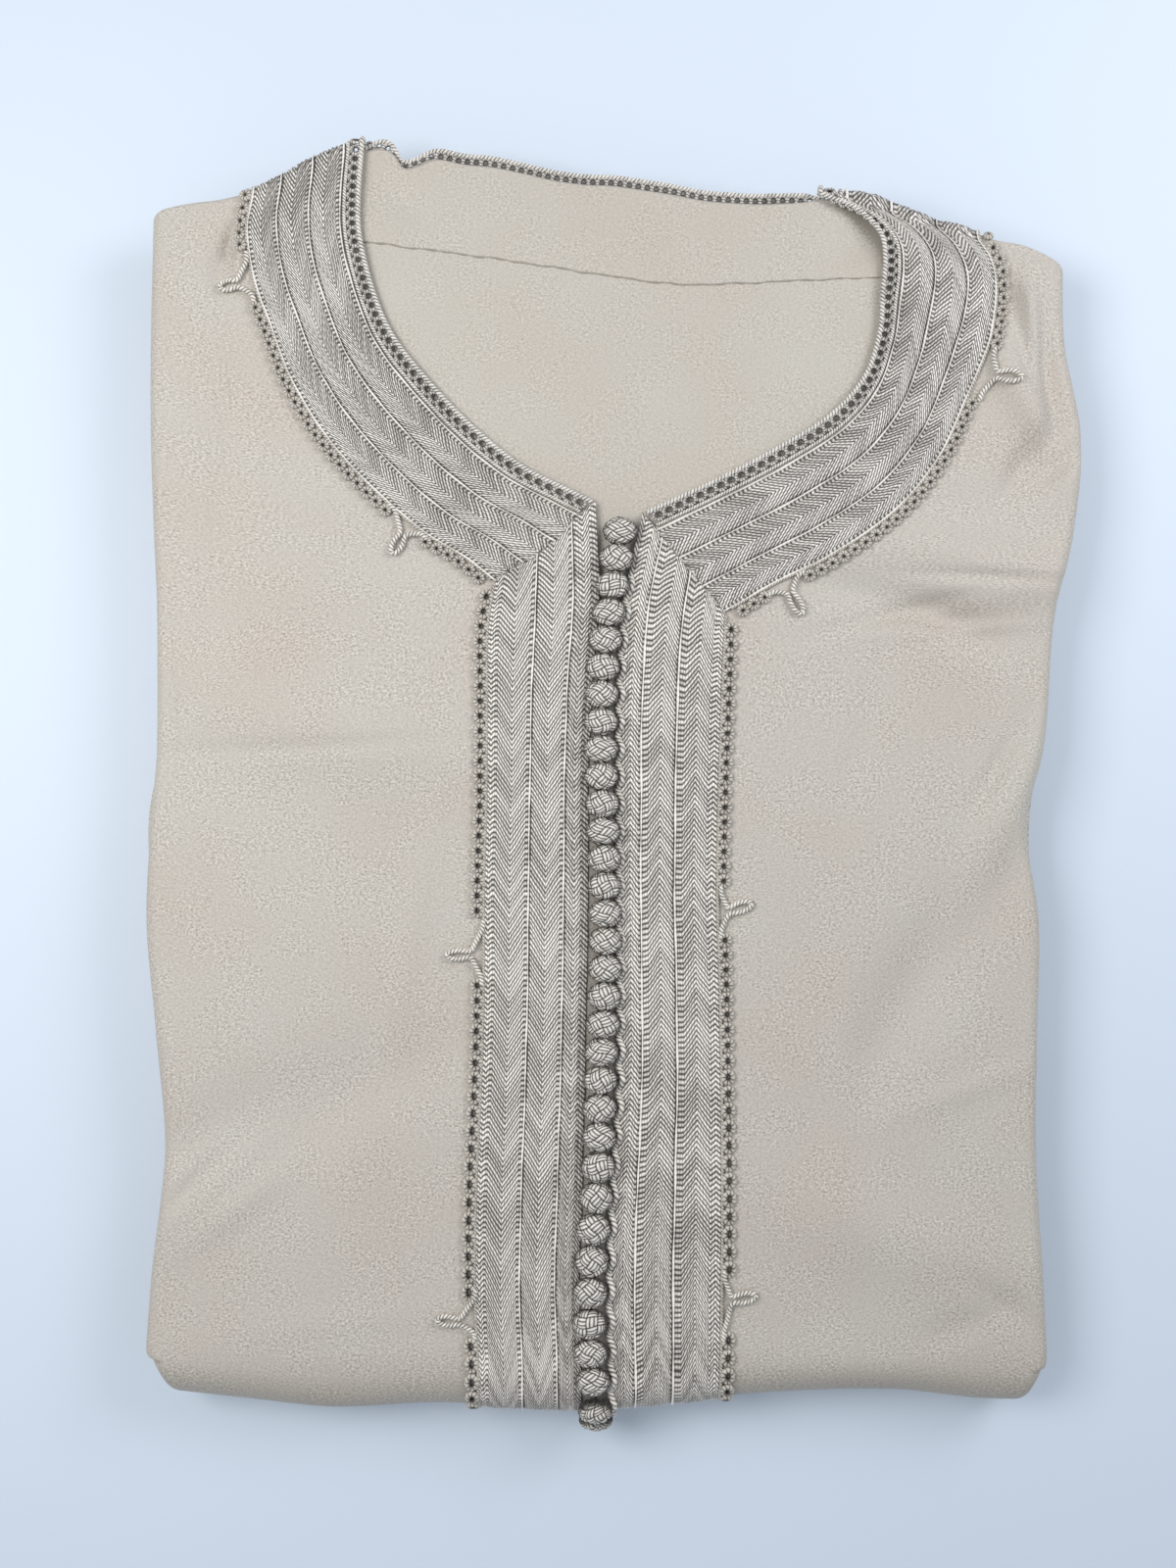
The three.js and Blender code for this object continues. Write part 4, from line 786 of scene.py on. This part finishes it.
# ---- Neck edging ----
# Needle-made openwork along the neck opening: a twisted cord runs on its free side, and a row of ribbed
# coils, each round a pinhole, joins it to the braid.
def frames(way, place, share, h):
    """Places on a way with their own axes: along it, across it towards its outer edge, and off the cloth."""
    place = np.asarray(place, float)
    point = skin(*way(place, share), h)
    ahead = skin(*way(place + 0.15, share), h) - skin(*way(place - 0.15, share), h)
    ahead /= np.linalg.norm(ahead, axis=-1, keepdims=True)
    off = outward(*way(place, share))
    side = np.cross(ahead, off)
    side /= np.linalg.norm(side, axis=-1, keepdims=True)
    beyond = skin(*way(place, share + 0.01), h) - point
    side *= np.sign((side * beyond).sum(-1, keepdims=True))
    off = np.cross(ahead, side)
    off *= np.sign((off * outward(*way(place, share))).sum(-1, keepdims=True))
    return point, ahead, side, off


def stations(way, share, low, high, pitch):
    """Places along a way, one every pitch of it; the pitch may change along the way."""
    places = np.linspace(low, high, 4000)
    points = skin(*way(places, share))
    steps = np.linalg.norm(np.diff(points, axis=0), axis=1) / pitch(places[1:])
    count = np.concatenate([[0], np.cumsum(steps)])
    whole = max(int(round(count[-1])), 1)
    return np.interp((np.arange(whole) + 0.5) * count[-1] / whole, count, places)


def coils(points, ahead, side, off, sizes, ribs, round_count=27, lean=1.0, spin=0.0, heavy=0.0, bright=1.0):
    """Small closed coils, one at each place: a ring of half sizes (along, across) and the cord's radius, its
    cord swelling at every rib and heavier on its outer side. The map counts ribs; the pinhole's wall is painted dark
    with shade."""
    tube_count = 7
    along, across, radius = (np.broadcast_to(np.asarray(size, float), len(points))[:, None, None] for size in sizes)
    theta = (np.arange(round_count) / round_count * 2 * np.pi)[None, :, None]
    phi = (np.arange(tube_count) / tube_count * 2 * np.pi)[None, None, :]
    turned = theta + np.broadcast_to(np.asarray(spin, float), len(points))[:, None, None]
    radius = radius * (1 + heavy * np.clip(np.sin(turned), 0, 1))
    swell = 1 + 0.2 * np.cos(ribs * theta + lean * np.sin(phi))
    reach = radius * swell * np.cos(phi)
    local_a = (along - radius + reach) * np.cos(turned)
    local_b = (across - radius + reach) * np.sin(turned)
    local_c = 0.85 * radius * swell * np.sin(phi) + 0 * theta
    made = points[:, None, None, :] + sum(
        local[..., None] * axis[:, None, None, :]
        for local, axis in ((local_a, ahead), (local_b, side), (local_c, off))
    )
    i, j = np.meshgrid(np.arange(round_count), np.arange(tube_count), indexing="ij")
    corners = [(i, j), (i, j + 1), (i + 1, j + 1), (i + 1, j)]
    quads = np.stack([(a % round_count) * tube_count + b % tube_count for a, b in corners], -1).reshape(-1, 4)
    faces = (quads[None] + (np.arange(len(points)) * round_count * tube_count)[:, None, None]).reshape(-1, 4)
    count = [a * ribs / round_count + lean * np.sin(b * 2 * np.pi / tube_count) / (2 * np.pi) for a, b in corners]
    uv = np.stack([np.stack(count, -1) + 0.5, np.stack([b for _, b in corners], -1)], -1)
    # painted shade: tone is low on the inner wall round the pinhole and a little raised on the outer side
    tone = np.broadcast_to(bright * (1.15 - 1.1 * smooth(0.15 - 1.1 * np.cos(phi))), reach.shape)
    return made.reshape(-1, 3), faces, np.broadcast_to(uv, (len(points), *uv.shape)).reshape(-1, 2), tone.ravel()


def twisted(path, up, radius, ply_step, sides=10, step=0.3):
    """A cord of two plies along a path: its outline has two lobes that turn once every two ply steps. The
    map counts plies. Ends are closed by shrinking the last rings."""
    walked = walk_along(path)
    count = max(int(walked[-1] / step), 8) + 1
    s = np.linspace(0, walked[-1], count)
    centre, lift = (np.stack([np.interp(s, walked, line) for line in table.T], -1) for table in (path, up))
    ahead = np.gradient(centre, axis=0)
    ahead /= np.linalg.norm(ahead, axis=1, keepdims=True)
    side = np.cross(ahead, lift)
    side /= np.linalg.norm(side, axis=1, keepdims=True)
    off = np.cross(side, ahead)
    phi = np.arange(sides) / sides * 2 * np.pi
    lobe = phi[None, :] - np.pi * s[:, None] / ply_step
    r = radius * (0.68 + 0.32 * np.abs(np.cos(lobe)) ** 0.8)
    r = r * np.sqrt(np.clip(np.minimum(s, s[-1] - s) / (0.6 * radius) + 0.02, 0, 1))[:, None]
    spokes = np.cos(phi)[:, None] * side[:, None] + np.sin(phi)[:, None] * off[:, None]
    made = centre[:, None] + r[..., None] * spokes
    i, j = np.meshgrid(np.arange(count - 1), np.arange(sides), indexing="ij")
    corners = [(i, j), (i + 1, j), (i + 1, j + 1), (i, j + 1)]
    faces = np.stack([a * sides + b % sides for a, b in corners], -1).reshape(-1, 4)
    turn = np.stack([2 * b / sides - s[a] / ply_step + 0.5 for a, b in corners], -1)
    uv = np.stack([turn, np.stack([s[a] for a, _ in corners], -1)], -1)
    return made.reshape(-1, 3), faces, uv.reshape(-1, 2), np.ones(count * sides)


def trim(name, parts, nodes, material):
    """One piece out of several closed parts, each with points, quads, a map at the quads' corners and tones."""
    points, faces = joined([part[:2] for part in parts])
    uv, tone = (np.concatenate([part[k] for part in parts]) for k in (2, 3))
    return mesh_piece(
        name, points, faces, nodes, uv=uv, layers=[("tone", tone)], material=material, corner_uv=True,
    )


def eye_pitch(place):
    """The coils are closer together behind the neck."""
    return 3.05 + 0.75 * smooth(np.abs(place / neck_way.rows[-1] - 0.5) * 5 - 1.2)


edging_silk = silk("edging_silk", srgb(40, 37, 33), srgb(126, 121, 115), srgb(226, 221, 213), 0.32)
low, high = neck_way.start + 0.4, neck_way.end - 0.4
fine = np.arange(low, high, 0.4)
point, _, _, off = frames(neck_way, fine, 0.017, 0.55)
free_cord = twisted(point, off, 0.85, 1.25)
point, _, _, off = frames(neck_way, fine, 0.128, 0.75)
inner_cord = twisted(point, off, 0.62, 1.0, sides=8)
places = stations(neck_way, 0.07, low + 1, high - 1, eye_pitch)
point, ahead, side, off = frames(neck_way, places, 0.068, 0.42)
sizes = (np.linalg.norm(np.gradient(point, axis=0), axis=1) * 0.57, 2.05, 0.54)
eyes = coils(point, ahead, side, off, sizes, 11, round_count=33, lean=1.2, heavy=0.6, bright=0.8)
trim("neck_openwork", [free_cord, inner_cord, eyes], ["neck_edging"], edging_silk)

# ---- Outer edging ----
# The same cord worked in small ribbed rings side by side along the outside of the trim, each round a
# pinhole. It stops for a few stitches where a drawn loop leaves it.
# side, number, both ends, where the strands meet and the tip, as places on the front, and half the eye's width
LOOPS = [
    ("left", 1, (-121.6, 175.4), (-119.8, 163.7), (-125.1, 167.3), (-131.2, 166.5), 1.55),
    ("left", 2, (-72.6, 92.4), (-64, 84.5), (-70, 84.4), (-73.6, 77.6), 1.5),
    ("left", 3, (-43.4, -46.5), (-43.8, -62.9), (-47.4, -55.1), (-56, -55.5), 1.3),
    ("left", 4, (-46, -169), (-46.2, -180.8), (-51.4, -177), (-59, -176.2), 1.4),
    ("right", 1, (125.6, 143.2), (122, 131), (126.6, 136.8), (134.8, 135.4), 1.6),
    ("right", 2, (61.1, 70.6), (53, 65.2), (58.6, 65), (62.6, 57.6), 1.5),
    ("right", 3, (35.6, -35.3), (35.6, -46.9), (38, -40.8), (46, -38.2), 1.45),
    ("right", 4, (36.6, -162.7), (36.4, -180.8), (39, -169.8), (47.6, -168.4), 1.45),
]
ends = np.array([loop[2:4] for loop in LOOPS])
roots = skin(*ends.mean(1).T)
spread = np.linalg.norm(ends[:, 0] - ends[:, 1], axis=1) / 2


def ring_pitch(way):
    """Rings are 4.25 mm apart round the neck, and 5 to 6 mm down the plackets, wider apart low down."""
    if way is neck_way:
        return lambda place: 4.25 + 0 * place
    return lambda place: 4.95 + smooth((-way(place, 1.0)[1] - 60) / 70)


picots = []
runs = [(placket_way[side], start, placket_way[side].rows[-1] - 1) for side, start in ((-1, 1.5), (1, 3.0))]
runs += [(neck_way, neck_way.start + 2, neck_way.rows[12] + 6), (neck_way, neck_way.rows[-13] - 6, neck_way.end - 3)]
for way, low, high in runs:
    places = stations(way, 0.96, low, high, ring_pitch(way))
    point, ahead, side, off = frames(way, places, 0.958, 0.95)
    size = np.linalg.norm(np.gradient(point, axis=0), axis=1) * 0.5
    k = np.arange(len(places))
    wobble = 0.5 * np.sin(k * 2.4) + 0.5 * np.sin(k * 1.3 + 1)
    clear = (np.linalg.norm(point[:, None] - roots[None], axis=2) - spread).min(1) > 1.2
    point, ahead, side, off, size, wobble = (part[clear] for part in (point, ahead, side, off, size, wobble))
    sizes = (size * (1 + 0.03 * wobble), np.minimum(size, 2.45) * (1 - 0.02 * wobble), 1.0)
    picots.append(coils(point, ahead, side, off, sizes, 9, spin=0.6 * wobble, lean=1.4))
    point, _, _, off = frames(way, np.arange(low - 1, high + 1, 0.5), 0.903, 0.85)
    picots.append(twisted(point, off, 0.55, 1.1, sides=8, step=0.35))
picot_silk = silk("picot_silk", srgb(44, 40, 35), srgb(122, 115, 106), srgb(200, 193, 182), 0.3)
trim("outer_rings", picots, ["outer_edging"], picot_silk)

# ---- Drawn loops ----
# Eight loops of the edging's own two-ply cord, drawn out over the cloth beside the shoulders and along the
# plackets. Each is sewn in along the braid's edge on both sides of its root.
LOOP_CORD = 1.6  # thickness
loop_silk = silk("loop_silk", srgb(56, 51, 45), srgb(142, 136, 127), srgb(234, 228, 218), 0.25)
for side, number, start, last, meet, tip, wide in LOOPS:
    start, last, meet, tip = (np.array(place, float) for place in (start, last, meet, tip))
    ahead = (tip - meet) / np.linalg.norm(tip - meet)
    turn = np.array([-ahead[1], ahead[0]])
    turn *= np.sign(turn @ (start - last))
    sewn = (start - last) / np.linalg.norm(start - last)
    eye = [meet + turn * 0.86, mix(meet, tip, 0.3) + turn * wide, mix(meet, tip, 0.72) + turn * wide]
    back_eye = [place - turn * 2 * ((place - meet) @ turn) for place in eye[::-1]]
    whole = [start + sewn * 3.4, start + sewn * 1.6, start, mix(start, meet, 0.55) + ahead * 0.3, *eye, tip]
    whole += [*back_eye, mix(last, meet, 0.55) + ahead * 0.3, last, last - sewn * 1.6, last - sewn * 3.4]
    whole = np.array(whole)
    walked = walk_along(whole)
    fine = np.linspace(0, walked[-1], 140)
    px, py = (curve(np.column_stack([walked, line]))(fine) for line in whole.T)
    for _ in range(2):
        px, py = (np.convolve(np.pad(line, 4, "edge"), np.ones(9) / 9, "valid") for line in (px, py))
    path = skin(px, py, LOOP_CORD / 2 + 2 * GAP)
    made = twisted(path, outward(px, py), LOOP_CORD / 2 * 1.06, 1.2)
    loop = trim(f"drawn_cord_{side}_{number}", [made], [f"drawn_loop_{side}_{number}"], loop_silk)
    centre = (made[0].reshape(-1, 10, 3).mean(1) + MIDDLE) * 0.001

# ---- Button cord and knotted buttons ----
# A close row of 34 knots, each a ball woven from three-strand bands of silk cord, over one and under one.
# They hang on a bright cord that winds along their right side; the last one lies round the lower fold.
BUTTON = {"across": 11.4, "high": 7.4, "count": 34, "first": 84.8}
button_pitch = curve([(-240, 9.2), (-190, 9.2), (-160, 10.4), (-130, 10.3), (-95, 9.3), (85, 8.95)])
button_runs = [BUTTON["first"]]
while len(button_runs) < BUTTON["count"]:
    button_runs.append(button_runs[-1] - float(button_pitch(button_runs[-1])))
button_runs = np.array(button_runs)
button_runs[-1] += 2.2
button_x = button_line(button_runs) - 0.25


def knots(bands=6.4, cap=math.radians(128)):
    """All the knots as one set of grids. A square grid is drawn round onto the ball from its top: its two
    numbers count bands each way. Bands go over and under in turn, so in every cell one of them arches up
    and dives under its neighbours at both ends, and its three strands run side by side."""
    n = 40
    line = np.linspace(-1, 1, n)
    u, v = np.meshgrid(line, line, indexing="ij")
    disc = u * np.sqrt(1 - v * v / 2) + 1j * v * np.sqrt(1 - u * u / 2)
    rho = np.abs(disc) + 1e-9
    polar = rho * cap
    # painted shade: each ball is lighter on top and darkens towards its lower rim
    tone = 1.15 - 1.05 * smooth((polar - 0.75) / 0.8)
    parts = []
    for k, (x, run) in enumerate(zip(button_x, button_runs)):
        swirl = (0.9 if k % 3 else -0.7) * (rho - 0.3)
        drift = 20.5 + 0.35 * math.sin(k * 1.7) + 1j * (20.5 + 0.35 * math.cos(k * 2.9))
        warped = u + 0.08 * np.sin(3.1 * v + 1.7 * k) + 1j * (v + 0.08 * np.sin(2.7 * u + 2.3 * k))
        woven = warped * np.exp(1j * swirl) * bands / 2 + drift
        a, b = woven.real, woven.imag
        over = (np.floor(a) + np.floor(b)) % 2 == 0
        run_along, run_across = np.where(over, a, b) % 1, np.where(over, b, a) % 1
        arch = np.sin(np.pi * run_along) ** 0.6 * (1 - 0.35 * (2 * run_across - 1) ** 4)
        strand = np.abs(np.sin(3 * np.pi * run_across))
        swell = (arch - 0.85) * 0.75 + (strand - 0.6) * 0.22
        turn = math.radians(38 + 22 * math.sin(k * 2.4) + 9 * math.sin(k * 5.1))
        spun = disc * np.exp(1j * turn) * np.sin(polar) / rho
        half = np.array([BUTTON["across"], float(button_pitch(run)) + 0.4, BUTTON["high"]]) / 2
        ball = np.stack([spun.real, spun.imag, np.cos(polar)], -1) * (half + swell[..., None])
        up = outward(x, run)
        across = np.array([1.0, 0.0, 0.0])
        along = np.cross(up, across)
        along /= np.linalg.norm(along)
        across = np.cross(along, up)
        middle = skin(x, run, 2 * GAP + BUTTON["high"] / 2)
        placed = middle + ball[..., :1] * across + ball[..., 1:2] * along + ball[..., 2:] * up
        faces = grid_faces(n, n)
        uv = np.stack([a, b], -1).reshape(-1, 2)[faces.ravel()]
        parts.append((placed, faces, uv, tone.ravel()))
    return parts


def knot_silk(name):
    """Woven bands: the map counts bands each way, and the parity of the cell says which one is on top."""
    material, shader, start = finish(name, Roughness=0.5, Sheen_Weight=0.1)
    place = start.node("ShaderNodeUVMap", settings={"uv_map": "cloth"})
    a = start.node("ShaderNodeSeparateXYZ", output=0, Vector=place)
    b = start.node("ShaderNodeSeparateXYZ", output=1, Vector=place)
    parity = ((a.maths("FLOOR") + b.maths("FLOOR")) * 0.5).maths("FRACT") * 2
    fa, fb = a.maths("FRACT"), b.maths("FRACT")
    across = fb + (fa - fb) * parity
    along = fa + (fb - fa) * parity
    # painted highlight: each band's three strands are lighter on their crowns
    swing = (across * 3).maths("FRACT") * 2 - 1
    crown = (1 - swing * swing).maths("POWER", 1.6)
    # painted shade: darker where a band dives under its neighbours and along its edges
    dive = 1 - (along * 2 - 1).maths("ABSOLUTE")
    shown = (dive * 3.0 + 0.15).maths("MINIMUM", 1.0)
    edge = ((1 - (across * 2 - 1).maths("ABSOLUTE")) * 6 + 0.15).maths("MINIMUM", 1.0)
    tone = start.node("ShaderNodeAttribute", output=2, settings={"attribute_name": "tone"})
    level = (crown * 0.9 + 0.1) * shown * edge * tone
    where = start.node("ShaderNodeTexCoord", output=3)
    fibre = start.node("ShaderNodeTexNoise", Vector=where, Scale=1700.0, Detail=2.0)
    grey = level * 0.95 + (fibre - 0.5) * 0.4
    stops = [(0.05, srgb(30, 27, 24)), (0.98, srgb(228, 223, 215)), (0.45, srgb(158, 152, 143))]
    feed(shader, "Base Color", start.node("ShaderNodeValToRGB", settings={"stops": stops}, Fac=grey))
    feed(shader, "Roughness", 0.62 - level * 0.2)
    feed(shader, "Normal", start.node("ShaderNodeBump", Strength=0.6, Distance=0.00025, Height=level))
    return material


nodes = [f"button_{k + 1:02d}" for k in range(BUTTON["count"])]
trim("knotted_buttons", knots(), nodes, knot_silk("knot_silk"))

# the cord swings out and up at each knot, along the right placket's inner edge
fine = np.arange(70, -228, -0.35)
nearest = np.abs(fine[:, None] - button_runs[None]).argmin(1)
swing = np.cos(2 * np.pi * (fine - button_runs[nearest]) / button_pitch(fine))
down = np.linspace(-65, 235, 80)
inner_edge = curve([(-y, x) for x, y, *_ in placket_rows(1)])(down)
x = np.interp(-fine, [-91.7, *down], [9.6, *inner_edge]) + 1.0 + 0.7 * swing
path = skin(x, fine, 1.7 + 1.1 * swing)
trim("shank_cord", [twisted(path, outward(x, fine), 1.1, 1.6)], ["button_cord"], loop_silk)

# ---- Floor, light and camera ----
# A pale smooth table top. One broad soft light stands over the upper left corner and a weaker one fills
# from the right; the camera hangs almost straight above.
floor_mesh = bpy.data.meshes.new("table_top")
floor_mesh.from_pydata([(-3, -3, -0.0002), (3, -3, -0.0002), (3, 3, -0.0002), (-3, 3, -0.0002)], [], [(0, 1, 2, 3)])
floor = bpy.data.objects.new("table_top", floor_mesh)
bpy.context.scene.collection.objects.link(floor)
floor_mesh.materials.append(finish("pale_table", Roughness=0.55, Base_Color=srgb(211, 221, 233))[0])


def lamp(name, place, aim, size, watts, colour):
    """A square soft light at place, turned to face aim."""
    data = bpy.data.lights.new(name, "AREA")
    data.shape, data.size, data.energy, data.color = "SQUARE", size, watts, colour
    light = bpy.data.objects.new(name, data)
    bpy.context.scene.collection.objects.link(light)
    way = np.array(aim) - np.array(place)
    level = math.hypot(way[0], way[1])
    light.location = place
    light.rotation_euler = (math.atan2(level, -way[2]), 0, math.atan2(way[1], way[0]) - math.pi / 2)


lamp("window", (-0.386, 0.12, 0.614), (-0.05, 0.03, 0), 0.34, 2.85, (1.0, 0.985, 0.96))
lamp("fill", (0.46, 0.318, 0.5), (0.0, 0.05, 0), 0.34, 2.1, (0.97, 0.98, 1.0))
world = bpy.data.worlds.new("room")
bpy.context.scene.world = world
world.use_nodes = True
world.node_tree.nodes["Background"].inputs[0].default_value = (0.86, 0.92, 1.0, 1)
world.node_tree.nodes["Background"].inputs[1].default_value = 0.53
camera_data = bpy.data.cameras.new("camera")
camera_data.lens, camera_data.sensor_fit, camera_data.sensor_height = 36, "VERTICAL", 36
camera_data.sensor_width = 27
camera = bpy.data.objects.new("camera", camera_data)
bpy.context.scene.collection.objects.link(camera)
camera.location = (-0.0081, 0.0022, 0.5485)
camera.rotation_euler = (0, 0, 0)
bpy.context.scene.camera = camera
bpy.context.scene.view_settings.view_transform = "Standard"
